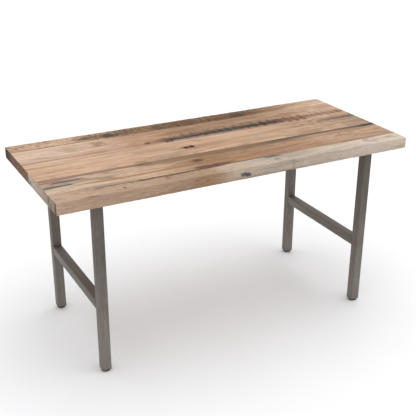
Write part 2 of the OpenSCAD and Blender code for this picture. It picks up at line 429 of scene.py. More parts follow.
def new_group(name, inputs, outputs):
    """A shader node group: its tree, its inputs' sockets and its output node."""
    tree = bpy.data.node_groups.new(name, "ShaderNodeTree")
    for label, kind in inputs:
        tree.interface.new_socket(label, in_out="INPUT", socket_type="NodeSocket" + kind)
    for label, kind in outputs:
        tree.interface.new_socket(label, in_out="OUTPUT", socket_type="NodeSocket" + kind)
    given = tree.nodes.new("NodeGroupInput").outputs
    return tree, given, tree.nodes.new("NodeGroupOutput")


def use_group(tree, group, **inputs):
    """Places a group in a tree and feeds it. An input's name has _ for each space."""
    made = tree.nodes.new("ShaderNodeGroup")
    made.node_tree = group
    for name, value in inputs.items():
        feed(tree, made.inputs[name.replace("_", " ")], value)
    return made.outputs


def floats(*names):
    """Sockets for plain numbers."""
    return [(name, "Float") for name in names]


def split(tree, vector):
    """A vector's three parts."""
    return wire(tree, "ShaderNodeSeparateXYZ", {0: vector}).outputs


def join(tree, x, y, z):
    """A vector from its three parts."""
    return wire(tree, "ShaderNodeCombineXYZ", {0: x, 1: y, 2: z}).outputs[0]


def moved(tree, vector, seed):
    """A place moved equally along the three axes, where the noises are different ones."""
    shift = join(tree, seed, seed, seed)
    return wire(tree, "ShaderNodeVectorMath", {0: vector, 1: shift}, operation="ADD").outputs[0]


def multiply(tree, paint, code):
    """A paint darkened by a colour."""
    return blend(tree, 1.0, paint, colour(code), "MULTIPLY")


def colour_ramp(tree, position, stops, length):
    """Colours along a length: (distance, colour) pairs. The position goes from 0 to 1."""
    ramp = wire(tree, "ShaderNodeValToRGB", {0: position})
    steps = ramp.color_ramp.elements
    for index, (distance, code) in enumerate(stops):
        step = steps[index] if index < 2 else steps.new(distance)
        step.position = distance / length
        step.color = colour(code)
    return ramp


def build_timber_group():
    """Solid timber: growth rings round a pith that runs along x, so that faces show long grain
    and ends show arcs, with streaks that follow the rings, blotches, fibres and pores."""
    group, given, result = new_group(
        "timber",
        [("Vector", "Vector")] + floats("Pith Across", "Pith Down", "Ring Width", "Wander", "Seed"),
        floats("Rings", "Streaks", "Threads", "Bands", "Blotches", "Fibres", "Pores"))
    place = given["Vector"]
    seeded = moved(group, place, given["Seed"])
    lazy = wire(group, "ShaderNodeMapping", {"Vector": seeded, "Scale": (1.7, 6, 6)}).outputs[0]
    drift = wire(group, "ShaderNodeTexNoise", {"Vector": lazy, "Scale": 1.0, "Detail": 2.0})
    pull = wire(group, "ShaderNodeSeparateColor", {0: drift.outputs["Color"]}).outputs
    along, across, down = split(group, place)
    bend_across = sums(group, "MULTIPLY", sums(group, "SUBTRACT", pull[0], 0.5), given["Wander"])
    bend_down = sums(group, "MULTIPLY", sums(group, "SUBTRACT", pull[1], 0.5), given["Wander"])
    from_pith = sums(group, "ADD", sums(group, "SUBTRACT", across, given["Pith Across"]),
                     bend_across)
    below_pith = sums(group, "ADD", sums(group, "SUBTRACT", down, given["Pith Down"]), bend_down)
    radius = sums(group, "SQRT", sums(group, "ADD", sums(group, "MULTIPLY", from_pith, from_pith),
                                      sums(group, "MULTIPLY", below_pith, below_pith)))
    age = sums(group, "ADD", sums(group, "DIVIDE", radius, given["Ring Width"]),
               noise(group, seeded, stretch=(5, 120, 120), detail=1.0))
    part = sums(group, "FRACT", age)
    latewood = sums(group, "MULTIPLY", ease(group, part, 0.15, 0.85),
                    ease(group, part, 0.88, 1.0, 1.0, 0.0))
    feed(group, result.inputs["Rings"], latewood)
    turned = join(group, sums(group, "ADD", along, given["Seed"]), radius, below_pith)
    feed(group, result.inputs["Streaks"],
         noise(group, turned, stretch=(3.0, 120, 8), detail=4.0, rough=0.68))
    feed(group, result.inputs["Threads"],
         noise(group, turned, stretch=(13, 250, 40), detail=3.0, rough=0.65))
    feed(group, result.inputs["Bands"],
         noise(group, turned, stretch=(1.4, 46, 5), detail=2.0, rough=0.5))
    feed(group, result.inputs["Blotches"], noise(group, seeded, stretch=(6, 22, 22), detail=3.0))
    feed(group, result.inputs["Fibres"],
         noise(group, seeded, stretch=(45, 800, 800), detail=2.0, rough=0.7))
    specks = noise(group, seeded, stretch=(110, 1500, 1500), detail=1.0)
    dashes = noise(group, seeded, stretch=(26, 420, 420), detail=2.0, rough=0.6)
    feed(group, result.inputs["Pores"],
         sums(group, "MAXIMUM", ease(group, specks, 0.62, 0.72, 0.0, 0.7),
              ease(group, dashes, 0.66, 0.78)))
    return group


def build_stain_group():
    """A long stain along the grain, with ragged edges and gaps: 1 in it, 0 outside it."""
    group, given, result = new_group(
        "long_stain",
        [("Vector", "Vector")] + floats("Start", "End", "Fade", "Across", "Half Width", "Soft",
                                        "Gaps", "Seed"),
        floats("Mask"))
    seeded = moved(group, given["Vector"], given["Seed"])
    along, across, down = split(group, given["Vector"])
    wave = sums(group, "SUBTRACT", noise(group, seeded, stretch=(5, 8, 8), detail=1.0), 0.5)
    away = sums(group, "ABSOLUTE",
                sums(group, "MULTIPLY_ADD", wave, sums(group, "MULTIPLY", given["Soft"], 1.6),
                     sums(group, "SUBTRACT", across, given["Across"])))
    ragged = sums(group, "SUBTRACT", noise(group, seeded, stretch=(14, 170, 60), detail=4.0,
                                           rough=0.65), 0.5)
    away = sums(group, "MULTIPLY_ADD", ragged, sums(group, "MULTIPLY", given["Soft"], 2.2), away)
    inside = ease(group, away, given["Half Width"],
                  sums(group, "ADD", given["Half Width"], given["Soft"]), 1.0, 0.0)
    begun = ease(group, along, given["Start"], sums(group, "ADD", given["Start"], given["Fade"]))
    ended = ease(group, along, sums(group, "SUBTRACT", given["End"], given["Fade"]),
                 given["End"], 1.0, 0.0)
    breaks = noise(group, seeded, stretch=(11, 90, 40), detail=3.0, rough=0.6)
    whole = ease(group, breaks, sums(group, "SUBTRACT", given["Gaps"], 0.12),
                 sums(group, "ADD", given["Gaps"], 0.08))
    mask = sums(group, "MULTIPLY", sums(group, "MULTIPLY", inside, begun),
                sums(group, "MULTIPLY", ended, whole))
    feed(group, result.inputs["Mask"], mask)
    return group


def build_spot_group():
    """A round or oval spot: 1 in it, 0 outside it."""
    group, given, result = new_group(
        "spot",
        [("Vector", "Vector"), ("Middle", "Vector"), ("Size", "Vector")]
        + floats("Turn", "Soft", "Ragged", "Seed"),
        floats("Mask"))
    offset = wire(group, "ShaderNodeVectorMath", {0: given["Vector"], 1: given["Middle"]},
                  operation="SUBTRACT").outputs[0]
    turned = wire(group, "ShaderNodeVectorRotate",
                  {"Vector": offset, "Axis": (0, 0, 1), "Angle": given["Turn"]}).outputs[0]
    scaled = wire(group, "ShaderNodeVectorMath", {0: turned, 1: given["Size"]},
                  operation="DIVIDE").outputs[0]
    away = wire(group, "ShaderNodeVectorMath", {0: scaled}, operation="LENGTH").outputs["Value"]
    seeded = moved(group, given["Vector"], given["Seed"])
    lumps = sums(group, "SUBTRACT", noise(group, seeded, stretch=(60, 160, 160), detail=3.0), 0.5)
    away = sums(group, "MULTIPLY_ADD", lumps, given["Ragged"], away)
    feed(group, result.inputs["Mask"],
         ease(group, away, sums(group, "SUBTRACT", 1.0, given["Soft"]),
              sums(group, "ADD", 1.0, given["Soft"]), 1.0, 0.0))
    return group


def build_flow_group():
    """Bends the grain round a knot: the long lines part before it and close after it."""
    group, given, result = new_group(
        "grain_round_a_knot",
        [("Vector", "Vector")] + floats("Along", "Across", "Length", "Reach"),
        [("Vector", "Vector")])
    along, across, down = split(group, given["Vector"])
    ahead = sums(group, "DIVIDE", sums(group, "SUBTRACT", along, given["Along"]), given["Length"])
    aside = sums(group, "DIVIDE", sums(group, "SUBTRACT", across, given["Across"]), given["Reach"])
    near = sums(group, "EXPONENT", sums(group, "MULTIPLY", sums(group, "MULTIPLY", ahead, ahead),
                                        -1.0))
    fading = sums(group, "EXPONENT", sums(group, "MULTIPLY", sums(group, "ABSOLUTE", aside), -1.0))
    side = sums(group, "DIVIDE", aside, sums(group, "SQRT", sums(
        group, "MULTIPLY_ADD", aside, aside, 0.02)))
    push = sums(group, "MULTIPLY", sums(group, "MULTIPLY", near, fading),
                sums(group, "MULTIPLY", side, given["Reach"]))
    bent = join(group, along, sums(group, "MULTIPLY_ADD", push, -0.85, across), down)
    feed(group, result.inputs["Vector"], bent)
    return group


TIMBER = build_timber_group()
STAIN = build_stain_group()
SPOT = build_spot_group()
FLOW = build_flow_group()
DARK_GRAIN = "#b3a191"
PALE_GRAIN = "#fff8f2"
SAW_SOFTNESS = 0.02


class Board:
    """A board's material while it is being made: the paint so far, the relief so far and where."""

    def __init__(self, name, seed):
        self.material, self.tree, self.shader, place = new_material(name, roughness=0.62)
        self.place = wire(self.tree, "ShaderNodeMapping",
                          {"Vector": place, "Scale": (1, -1, -1),
                           "Location": (-LEFT_END, BACK_EDGE, TOP_FACE)}).outputs[0]
        self.grain_place = self.place
        self.along, self.across, self.down = split(self.tree, self.place)
        self.on_top = ease(self.tree, self.down, 0.006, 0.014, 1.0, 0.0)
        normal = self.tree.nodes.new("ShaderNodeNewGeometry").outputs["Normal"]
        self.on_end = ease(self.tree, sums(self.tree, "ABSOLUTE", split(self.tree, normal)[0]),
                           0.55, 0.85)
        self.shader.inputs["Specular IOR Level"].default_value = 0.25
        self.seed = seed
        self.paint = None
        self.figure = None
        self.relief = 0.5

    def part_grain(self, along, across, length, reach):
        """Call before grain: the grain parts round a knot here."""
        self.grain_place = use_group(self.tree, FLOW, Vector=self.grain_place, Along=along,
                                     Across=across, Length=length, Reach=reach)["Vector"]

    def lay_ground(self, stops, shift=0.05):
        """The board's own colour from its left end to its right: (distance, colour) pairs."""
        stir = noise(self.tree, self.place, stretch=(3, 38, 20), detail=3.0)
        stirred = sums(self.tree, "MULTIPLY_ADD", sums(self.tree, "SUBTRACT", stir, 0.5), shift * 2,
                       self.along)
        length = -2 * LEFT_END
        ramp = colour_ramp(self.tree, sums(self.tree, "DIVIDE", stirred, length), stops, length)
        ramp.color_ramp.interpolation = "EASE"
        self.paint = ramp.outputs[0]

    def grain(self, pith_across, pith_down, ring_width=0.005, wander=0.05, streaks=0.5, bands=0.5,
              rings=0.45, blotches=0.3, pores=0.5):
        """The timber's figure over the ground, each part of it from 0, none, to 1, strong."""
        tree = self.tree
        wood = use_group(tree, TIMBER, Vector=self.grain_place, Pith_Across=pith_across,
                         Pith_Down=pith_down, Ring_Width=ring_width, Wander=wander,
                         Seed=self.seed)
        deeper = multiply(tree, self.paint, DARK_GRAIN)
        lighter = blend(tree, 1.0, self.paint, tuple(1.25 * c for c in colour(PALE_GRAIN)), "MULTIPLY")
        paint = blend(tree, ease(tree, wood["Bands"], 0.50, 0.64, 0.0, bands), self.paint, deeper)
        paint = blend(tree, ease(tree, wood["Bands"], 0.47, 0.34, 0.0, bands), paint, lighter)
        lines = ease(tree, wood["Streaks"], 0.51, 0.63, 0.0, streaks)
        paint = blend(tree, lines, paint, multiply(tree, paint, DARK_GRAIN))
        paint = blend(tree, ease(tree, wood["Streaks"], 0.46, 0.36, 0.0, streaks), paint,
                      blend(tree, 1.0, paint, tuple(1.22 * c for c in colour(PALE_GRAIN)), "MULTIPLY"))
        paint = blend(tree, ease(tree, wood["Blotches"], 0.40, 0.76, 0.0, blotches), paint, deeper)
        fine = sums(tree, "MAXIMUM", sums(tree, "MULTIPLY", wood["Rings"], rings),
                    ease(tree, wood["Threads"], 0.54, 0.67, 0.0, 0.7))
        fine = sums(tree, "MAXIMUM", fine, ease(tree, wood["Fibres"], 0.49, 0.64, 0.0, 0.5))
        paint = blend(tree, fine, paint, multiply(tree, paint, DARK_GRAIN))
        darkest = multiply(tree, paint, "#8a7260")
        self.paint = blend(tree, sums(tree, "MULTIPLY", wood["Pores"], pores), paint, darkest)
        self.figure = sums(tree, "MAXIMUM", sums(tree, "MAXIMUM", fine, lines),
                           sums(tree, "MULTIPLY", wood["Rings"], 0.8))
        hollow = sums(tree, "MULTIPLY_ADD", wood["Pores"], -0.5,
                      sums(tree, "MULTIPLY", wood["Fibres"], 0.5))
        self.relief = sums(tree, "MULTIPLY_ADD", wood["Threads"], -0.4, hollow)

    def tint(self, code, mask, relief=0.0):
        """Mixes a colour in where the mask is 1, letting a little of the grain through."""
        tree = self.tree
        tinged = blend(tree, 0.25, colour(code), self.paint, "OVERLAY")
        self.paint = blend(tree, mask, self.paint, tinged)
        if relief:
            self.relief = sums(tree, "MULTIPLY_ADD", mask, relief, self.relief)

    def stain(self, code, start, end, across, half, soft=0.006, strength=1.0, fade=0.05,
              gaps=0.0, seed=0.0):
        """A long stain along the grain, on the top face only."""
        mask = use_group(self.tree, STAIN, Vector=self.place, Start=start, End=end, Fade=fade,
                         Across=across, Half_Width=half, Soft=soft, Gaps=gaps,
                         Seed=self.seed + seed)["Mask"]
        mask = sums(self.tree, "MULTIPLY", mask, strength)
        self.tint(code, sums(self.tree, "MULTIPLY", mask, self.on_top))

    def spot(self, code, middle, size, turn=0.0, soft=0.3, ragged=0.6, strength=1.0, seed=0.0):
        """An oval spot on any face: its middle and half sizes along, across and down."""
        mask = use_group(self.tree, SPOT, Vector=self.place, Middle=middle, Size=size, Turn=turn,
                         Soft=soft, Ragged=ragged, Seed=self.seed + seed)["Mask"]
        self.tint(code, sums(self.tree, "MULTIPLY", mask, strength))

    def saw_marks(self, code, start, end, across, half, pitch, width=0.5, strength=0.8,
                  wobble=0.3, seed=0.0):
        """Dark strokes across the grain, a pitch apart, in a stretch of the board."""
        tree = self.tree
        shaken = noise(tree, self.place, stretch=(14, 9, 9), detail=2.0)
        turn = sums(tree, "ADD", sums(tree, "DIVIDE", self.along, pitch),
                    sums(tree, "MULTIPLY", shaken, wobble * 6))
        wave = sums(tree, "SINE", sums(tree, "MULTIPLY", turn, math.tau))
        stroke = ease(tree, wave, 1.0 - 2.0 * width, 1.0)
        zone = use_group(tree, STAIN, Vector=self.place, Start=start, End=end, Fade=0.06,
                         Across=across, Half_Width=half, Soft=SAW_SOFTNESS, Gaps=0.0,
                         Seed=self.seed + seed)["Mask"]
        patchy = ease(tree, noise(tree, self.place, stretch=(16, 60, 30), detail=3.0), 0.35, 0.6)
        mask = sums(tree, "MULTIPLY", sums(tree, "MULTIPLY", stroke, zone),
                    sums(tree, "MULTIPLY", sums(tree, "MULTIPLY", patchy, strength), self.on_top))
        self.tint(code, mask, relief=-0.6)

    def flecks(self, code, start, end, across, half, lump=(0.020, 0.008), share=0.5, strength=0.8,
               soft=0.012, seed=0.0):
        """Scattered dark flecks of this size, over a share of a stretch of the top."""
        tree = self.tree
        zone = use_group(tree, STAIN, Vector=self.place, Start=start, End=end, Fade=0.08,
                         Across=across, Half_Width=half, Soft=soft, Gaps=0.0,
                         Seed=self.seed + seed)["Mask"]
        nudge = wire(tree, "ShaderNodeVectorMath", {0: self.place, 1: (seed, seed, seed)},
                     operation="ADD").outputs[0]
        lumps = noise(tree, nudge, stretch=(1 / lump[0], 1 / lump[1], 40), detail=3.0, rough=0.7)
        edge = 0.66 - 0.26 * share
        mask = ease(tree, lumps, edge - 0.02, edge + 0.10)
        mask = sums(tree, "MULTIPLY", sums(tree, "MULTIPLY", mask, zone),
                    sums(tree, "MULTIPLY", self.on_top, strength))
        self.tint(code, mask, relief=-0.4)

    def end_grain(self, stops):
        """The ends, darker, with the colour that each has across the worktop."""
        tree = self.tree
        stir = noise(tree, self.place, stretch=(1, 30, 60), detail=3.0)
        stirred = sums(tree, "MULTIPLY_ADD", sums(tree, "SUBTRACT", stir, 0.5), 0.05, self.across)
        depth = 2 * BACK_EDGE
        ramp = colour_ramp(tree, sums(tree, "DIVIDE", stirred, depth), stops, depth)
        cut = blend(tree, self.figure, ramp.outputs[0],
                    multiply(tree, ramp.outputs[0], "#b59c84"))
        dots = noise(tree, self.place, stretch=(300, 1400, 1400), detail=1.0)
        cut = blend(tree, ease(tree, dots, 0.5, 0.66, 0.0, 0.5), cut,
                    multiply(tree, cut, "#a8937f"))
        gold = ease(tree, noise(tree, self.place, stretch=(2, 38, 150), detail=3.0), 0.50, 0.58,
                    0.0, 0.9)
        gold = sums(tree, "MULTIPLY", gold, ease(tree, self.across, 0.325, 0.340, 1.0, 0.0))
        cut = blend(tree, gold, cut, blend(tree, 1.0, cut, (1.9, 1.5, 1.0, 1.0), "MULTIPLY"))
        self.paint = blend(tree, self.on_end, self.paint, cut)

    def done(self):
        """Joins the paint, the sheen and the relief to the shader."""
        tree, shader = self.tree, self.shader
        # Darker towards the bottom: from 30 to 45 mm below the top, the boards' sides and their
        # underside are mixed towards a darker colour.
        under = ease(tree, self.down, 0.030, 0.045)
        darker_below = blend(tree, 0.6, self.paint, colour("#a08a76"), "MULTIPLY")
        feed(tree, shader.inputs["Base Color"],
             blend(tree, sums(tree, "MULTIPLY", under, 0.35), self.paint, darker_below))
        worn = noise(tree, self.place, stretch=(9, 30, 30), detail=3.0)
        feed(tree, shader.inputs["Roughness"], ease(tree, worn, 0.3, 0.7, 0.52, 0.72))
        raise_surface(tree, shader, self.relief, 0.0005, 0.6)
        return self.material


END_TONES = [(0.0, "#0f0a07"), (0.03, "#20160e"), (0.06, "#523a26"), (0.14, "#73533a"),
             (0.30, "#775739"), (0.325, "#8d755e"), (0.338, "#e0d5c8"), (0.48, "#e9e0d5"),
             (0.58, "#d8cdc0"), (0.598, "#b5a493"), (0.604, "#4e3a2b"), (0.630, "#5d4838"),
             (0.636, "#ab957f")]


# ---------------------------------------------------------------------------------------------
# Back board: the narrow one, from the outside of an old beam. Its middle is rough, dark and
# weathered, with the strokes of a mill saw across it, and only its right end is planed pale.

piece = saw_board("back_board", back_arris=1.0)


def weathered(point, normal):
    """The rough middle of the board's top."""
    along = point.x - LEFT_END
    return max(0.0, min(1.0, (along - 0.25) / 0.2, (1.25 - along) / 0.15)) * max(normal.z, 0.0)


rough_sawn(piece, 0.0009, weathered)
rough = weigh(piece, "rough", weathered)
wear(piece, "CLOUDS", 0.0014, (0.045, 0.008, 0.01), rough, noise_scale=1.0, noise_depth=3)
bore(piece, "back_board")

wood = Board("back_board_wood", seed=3.0)
wood.lay_ground([(0.0, "#c9aa90"), (0.20, "#d6b89d"), (0.36, "#d2b196"), (0.48, "#a8876a"),
                 (0.80, "#85633a"), (1.08, "#8c6840"), (1.22, "#b79576"), (1.34, "#dbbd9e"),
                 (1.52, "#edd8c0")])
wood.grain(0.03, 0.11, ring_width=0.006, wander=0.09, streaks=0.6, bands=0.4, blotches=0.5,
           pores=0.7)
wood.stain("#957250", 0.55, 1.20, 0.018, 0.012, soft=0.014, strength=0.55, gaps=0.42, seed=4)
wood.flecks("#5d493c", -0.1, 0.42, 0.035, 0.025, lump=(0.022, 0.009), share=0.56, strength=0.75,
            seed=11)
wood.flecks("#3f332c", 0.36, 0.58, 0.055, 0.026, lump=(0.018, 0.008), share=0.56, strength=0.85,
            seed=15)
wood.flecks("#47341f", 0.26, 1.22, 0.048, 0.030, lump=(0.020, 0.009), share=0.52, strength=0.85,
            seed=12)
wood.flecks("#2c211a", 0.30, 1.16, 0.058, 0.024, lump=(0.030, 0.007), share=0.50, strength=0.85,
            seed=13)
wood.flecks("#5a4027", 0.60, 1.30, 0.030, 0.040, lump=(0.012, 0.012), share=0.42, strength=0.7,
            seed=14)
wood.stain("#3c3028", -0.1, 0.40, 0.083, 0.002, soft=0.004, strength=0.7, gaps=0.42, seed=5)
wood.saw_marks("#3d2f26", 0.30, 1.22, 0.045, 0.032, pitch=0.026, width=0.35, strength=0.6,
               wobble=0.5, seed=6)
wood.spot("#4d4038", (0.325, 0.050, 0), (0.028, 0.012, 0.02), ragged=2.0, strength=0.8, seed=1)
wood.spot("#3f3732", (0.425, 0.052, 0), (0.032, 0.026, 0.02), ragged=2.2, strength=0.85, seed=2)
wood.spot("#4b3c32", (0.65, 0.05, 0), (0.022, 0.022, 0.02), ragged=1.7, strength=0.6, seed=3)
wood.spot("#43352b", (1.05, 0.05, 0), (0.035, 0.024, 0.02), ragged=1.7, strength=0.6, seed=4)
wood.end_grain(END_TONES)
finish_board(piece, "back_board", wood.done())


# ---------------------------------------------------------------------------------------------
# Back middle board: pale and pinkish at the left, browner to the right. A dark mineral band runs
# along its front half with the teeth of the saw across it, and there is grey dust in one flaw.

piece = saw_board("back_middle_board")


def toothed(point, normal):
    """The dark band, where the saw tore the grain."""
    along, across = point.x - LEFT_END, BACK_EDGE - point.y
    return (max(0.0, min(1.0, (along - 0.55) / 0.1)) * max(normal.z, 0.0)
            * max(0.0, 1.0 - abs(across - 0.222) / 0.035))


rough_sawn(piece, 0.0012, toothed, pitch=0.042)
tools = [cutter("ball", from_corner(0.613, 0.244), (0.015, 0.012, 0.0028)),
         cutter("ball", from_corner(0.634, 0.243), (0.012, 0.011, 0.0024)),
         cutter("ball", from_corner(0.532, 0.224), (0.016, 0.011, 0.0016)),
         cutter("ball", from_corner(0.72, 0.248), (0.115, 0.006, 0.0016))]
carve(piece, tools)
bore(piece, "back_middle_board")

wood = Board("back_middle_board_wood", seed=11.0)
wood.lay_ground([(0.0, "#dec4b0"), (0.16, "#dfc5b1"), (0.34, "#cfb098"), (0.52, "#bb9679"),
                 (0.72, "#b28e70"), (0.92, "#a98769"), (1.08, "#b08e72"), (1.22, "#c09e82"),
                 (1.36, "#ceaf95"), (1.52, "#cbaa8f")])
wood.grain(0.155, 0.13, ring_width=0.007, wander=0.06, streaks=0.4, bands=0.35, blotches=0.2,
           pores=0.45)
wood.stain("#bfa991", -0.1, 0.30, 0.110, 0.012, soft=0.02, strength=0.5, seed=1)
wood.stain("#a57458", -0.1, 0.37, 0.235, 0.004, soft=0.006, strength=0.7, fade=0.03, gaps=0.3,
           seed=2)
wood.flecks("#8f6e55", 0.42, 0.68, 0.205, 0.012, lump=(0.024, 0.010), share=0.55, strength=0.6,
            soft=0.030, seed=3)
wood.stain("#6d523d", 0.52, 1.36, 0.216, 0.015, soft=0.012, strength=0.75, fade=0.10, gaps=0.3,
           seed=4)
wood.flecks("#4b382b", 0.58, 1.30, 0.196, 0.020, lump=(0.016, 0.014), share=0.5, strength=0.7,
            seed=5)
wood.saw_marks("#2b211d", 0.66, 1.34, 0.213, 0.024, pitch=0.042, width=0.50, strength=0.9,
               wobble=0.12, seed=7)
wood.stain("#3b2c22", 0.78, 1.28, 0.209, 0.011, soft=0.010, strength=0.8, fade=0.10, gaps=0.34,
           seed=16)
wood.stain("#86644b", 1.14, 1.62, 0.212, 0.009, soft=0.012, strength=0.7, fade=0.06, gaps=0.34,
           seed=17)
wood.stain("#241d1a", 0.58, 1.22, 0.222, 0.007, soft=0.008, strength=0.9, fade=0.06, gaps=0.44,
           seed=5)
wood.saw_marks("#97765a", 0.74, 1.34, 0.206, 0.018, pitch=0.034, width=0.36, strength=0.5,
               wobble=0.28, seed=9)
wood.saw_marks("#6f4f3a", 1.14, 1.62, 0.211, 0.028, pitch=0.034, width=0.50, strength=0.75,
               wobble=0.12, seed=8)
wood.stain("#8b8b8b", 0.60, 0.98, 0.249, 0.006, soft=0.006, strength=0.9, fade=0.03, gaps=0.38,
           seed=6)
wood.spot("#2b2829", (0.613, 0.244, 0), (0.009, 0.008, 0.01), ragged=0.6, strength=0.95, seed=1)
wood.spot("#302c2c", (0.634, 0.243, 0), (0.008, 0.008, 0.01), ragged=0.6, strength=0.9, seed=2)
wood.spot("#4c372d", (0.532, 0.224, 0), (0.015, 0.012, 0.01), ragged=1.3, strength=0.8, seed=3)
wood.spot("#6b6460", (0.618, 0.202, 0), (0.014, 0.012, 0.01), ragged=1.2, strength=0.7, seed=4)
wood.end_grain(END_TONES)
finish_board(piece, "back_middle_board", wood.done())


# ---------------------------------------------------------------------------------------------
# Middle board: the palest, with straight grain, a pair of small black knots and grey-green grain
# towards its right end.

piece = saw_board("middle_board")
tools = [cutter("ball", from_corner(0.649, 0.342), (0.015, 0.021, 0.0030), turn=-0.4),
         cutter("ball", from_corner(0.675, 0.339), (0.016, 0.022, 0.0034), turn=-0.4),
         cutter("ball", from_corner(0.600, 0.320), (0.060, 0.0016, 0.0016), turn=0.03)]
carve(piece, tools)
bore(piece, "middle_board")

wood = Board("middle_board_wood", seed=23.0)
wood.part_grain(0.662, 0.340, length=0.055, reach=0.022)
wood.lay_ground([(0.0, "#d1b295"), (0.20, "#d8b89d"), (0.50, "#cdac91"), (0.80, "#d3b092"),
                 (1.05, "#c9aa8e"), (1.30, "#c8a98e"), (1.52, "#b3987f")])
wood.grain(0.42, 0.20, ring_width=0.006, wander=0.035, streaks=0.4, bands=0.3, blotches=0.15,
           pores=0.35)
wood.stain("#a08b74", 0.40, 0.66, 0.315, 0.010, soft=0.010, strength=0.6, gaps=0.42, seed=1)
wood.stain("#b78d70", -0.1, 1.10, 0.340, 0.003, soft=0.012, strength=0.4, gaps=0.46, seed=2)
wood.stain("#bd957b", -0.1, 0.50, 0.388, 0.006, soft=0.012, strength=0.4, gaps=0.4, seed=3)
wood.flecks("#70604c", 1.12, 1.62, 0.298, 0.028, lump=(0.045, 0.008), share=0.62, strength=0.8,
            seed=4)
wood.stain("#4f4435", 1.30, 1.62, 0.292, 0.007, soft=0.008, strength=0.8, fade=0.08, gaps=0.42,
           seed=5)
wood.flecks("#8b7b66", 1.18, 1.62, 0.350, 0.030, lump=(0.050, 0.008), share=0.45, strength=0.6,
            seed=6)
wood.spot("#83543f", (0.660, 0.341, 0), (0.034, 0.017, 0.01), ragged=1.0, strength=0.65, seed=1)
wood.spot("#2f211f", (0.649, 0.342, 0), (0.0110, 0.0130, 0.01), turn=-0.4, ragged=0.5,
          strength=0.95, seed=2)
wood.spot("#291e1e", (0.675, 0.339, 0), (0.0120, 0.0140, 0.01), turn=-0.4, ragged=0.5,
          strength=0.95, seed=3)
wood.end_grain(END_TONES)
wood.spot("#3f5866", (0.0, 0.352, 0.030), (0.01, 0.0080, 0.0095), ragged=0.5, soft=0.2,
          strength=0.95, seed=8)
finish_board(piece, "middle_board", wood.done())


# ---------------------------------------------------------------------------------------------
# Front middle board: olive brown along its back edge, turning grey-black at the right, with two
# drying checks at the left end that are filled with blue-grey resin, and a brown knot.

piece = saw_board("front_middle_board")
tools = [cutter("ball", from_corner(0.098, 0.471), (0.134, 0.0094, 0.0030), turn=0.01),
         cutter("ball", from_corner(0.045, 0.505), (0.160, 0.0104, 0.0034), turn=-0.01),
         cutter("ball", from_corner(0.622, 0.496), (0.020, 0.014, 0.0022)),
         cutter("ball", from_corner(0.646, 0.578), (0.060, 0.0030, 0.0020), turn=0.02),
         cutter("ball", from_corner(0.405, 0.440), (0.022, 0.006, 0.0016))]
carve(piece, tools)
bore(piece, "front_middle_board")

wood = Board("front_middle_board_wood", seed=37.0)
wood.part_grain(0.622, 0.496, length=0.060, reach=0.024)
wood.lay_ground([(0.0, "#dfc7b1"), (0.18, "#dac2a9"), (0.40, "#cfb194"), (0.55, "#b8977a"),
                 (0.68, "#a98564"), (0.90, "#aa8869"), (1.10, "#b59478"), (1.30, "#c2a287"),
                 (1.52, "#bd9e84")])
wood.grain(0.49, 0.10, ring_width=0.006, wander=0.05, streaks=0.5, bands=0.45, blotches=0.2,
           pores=0.5)
wood.stain("#836757", -0.1, 0.46, 0.434, 0.009, soft=0.006, strength=0.85, fade=0.02, gaps=0.2,
           seed=1)
wood.stain("#7b6449", 0.34, 1.16, 0.441, 0.019, soft=0.010, strength=0.8, fade=0.10, gaps=0.25,
           seed=2)
wood.stain("#5b5149", 0.90, 1.62, 0.430, 0.010, soft=0.008, strength=0.9, fade=0.12, gaps=0.26,
           seed=3)
wood.stain("#2b2623", 1.41, 1.62, 0.431, 0.013, soft=0.010, strength=0.95, fade=0.07, gaps=0.26,
           seed=4)
wood.stain("#957150", 1.0, 1.40, 0.462, 0.005, soft=0.012, strength=0.5, gaps=0.4, seed=5)
wood.stain("#94694a", 0.10, 0.66, 0.527, 0.004, soft=0.006, strength=0.75, gaps=0.36, seed=6)
wood.stain("#a37c59", 0.60, 1.20, 0.540, 0.010, soft=0.016, strength=0.45, gaps=0.42, seed=7)
wood.flecks("#7d5a40", 0.42, 1.0, 0.515, 0.050, lump=(0.040, 0.007), share=0.42, strength=0.55,
            seed=12)
wood.stain("#6a4434", 0.55, 0.76, 0.566, 0.008, soft=0.008, strength=0.85, fade=0.05, gaps=0.30,
           seed=8)
wood.flecks("#33221d", 0.54, 0.74, 0.568, 0.010, lump=(0.030, 0.007), share=0.62, strength=0.9,
            soft=0.004, seed=18)
wood.stain("#3f3129", 0.14, 0.98, 0.5815, 0.0016, soft=0.002, strength=0.9, fade=0.06, gaps=0.36,
           seed=19)
wood.stain("#5a4434", -0.1, 0.10, 0.455, 0.002, soft=0.003, strength=0.8, fade=0.02, gaps=0.3,
           seed=20)
wood.flecks("#4f3626", 0.06, 1.10, 0.581, 0.003, lump=(0.014, 0.006), share=0.6, strength=0.85,
            soft=0.004, seed=9)
wood.stain("#41586a", 0.030, 0.165, 0.471, 0.0040, soft=0.0025, strength=0.95, fade=0.02,
           seed=10)
wood.stain("#445b6c", -0.05, 0.122, 0.505, 0.0046, soft=0.0028, strength=0.95, fade=0.02,
           seed=11)
wood.spot("#8f6540", (0.622, 0.496, 0), (0.038, 0.018, 0.02), ragged=1.6, strength=0.5, seed=1)
wood.spot("#4d3020", (0.624, 0.497, 0), (0.023, 0.011, 0.02), ragged=2.0, strength=0.85, seed=2)
wood.spot("#56473b", (0.405, 0.440, 0), (0.016, 0.005, 0.01), ragged=1.0, strength=0.85, seed=3)
wood.end_grain(END_TONES)
wood.spot("#4b6675", (0.0, 0.566, 0.018), (0.01, 0.0085, 0.0150), ragged=0.9, soft=0.3,
          strength=0.9, seed=9)
finish_board(piece, "front_middle_board", wood.done())


# ---------------------------------------------------------------------------------------------
# Front board: one narrow length, tan and flecked at the left and bleached pale grey to the
# right. Its face has a two-lobed hole that is filled with blue-grey resin, and old nail holes.

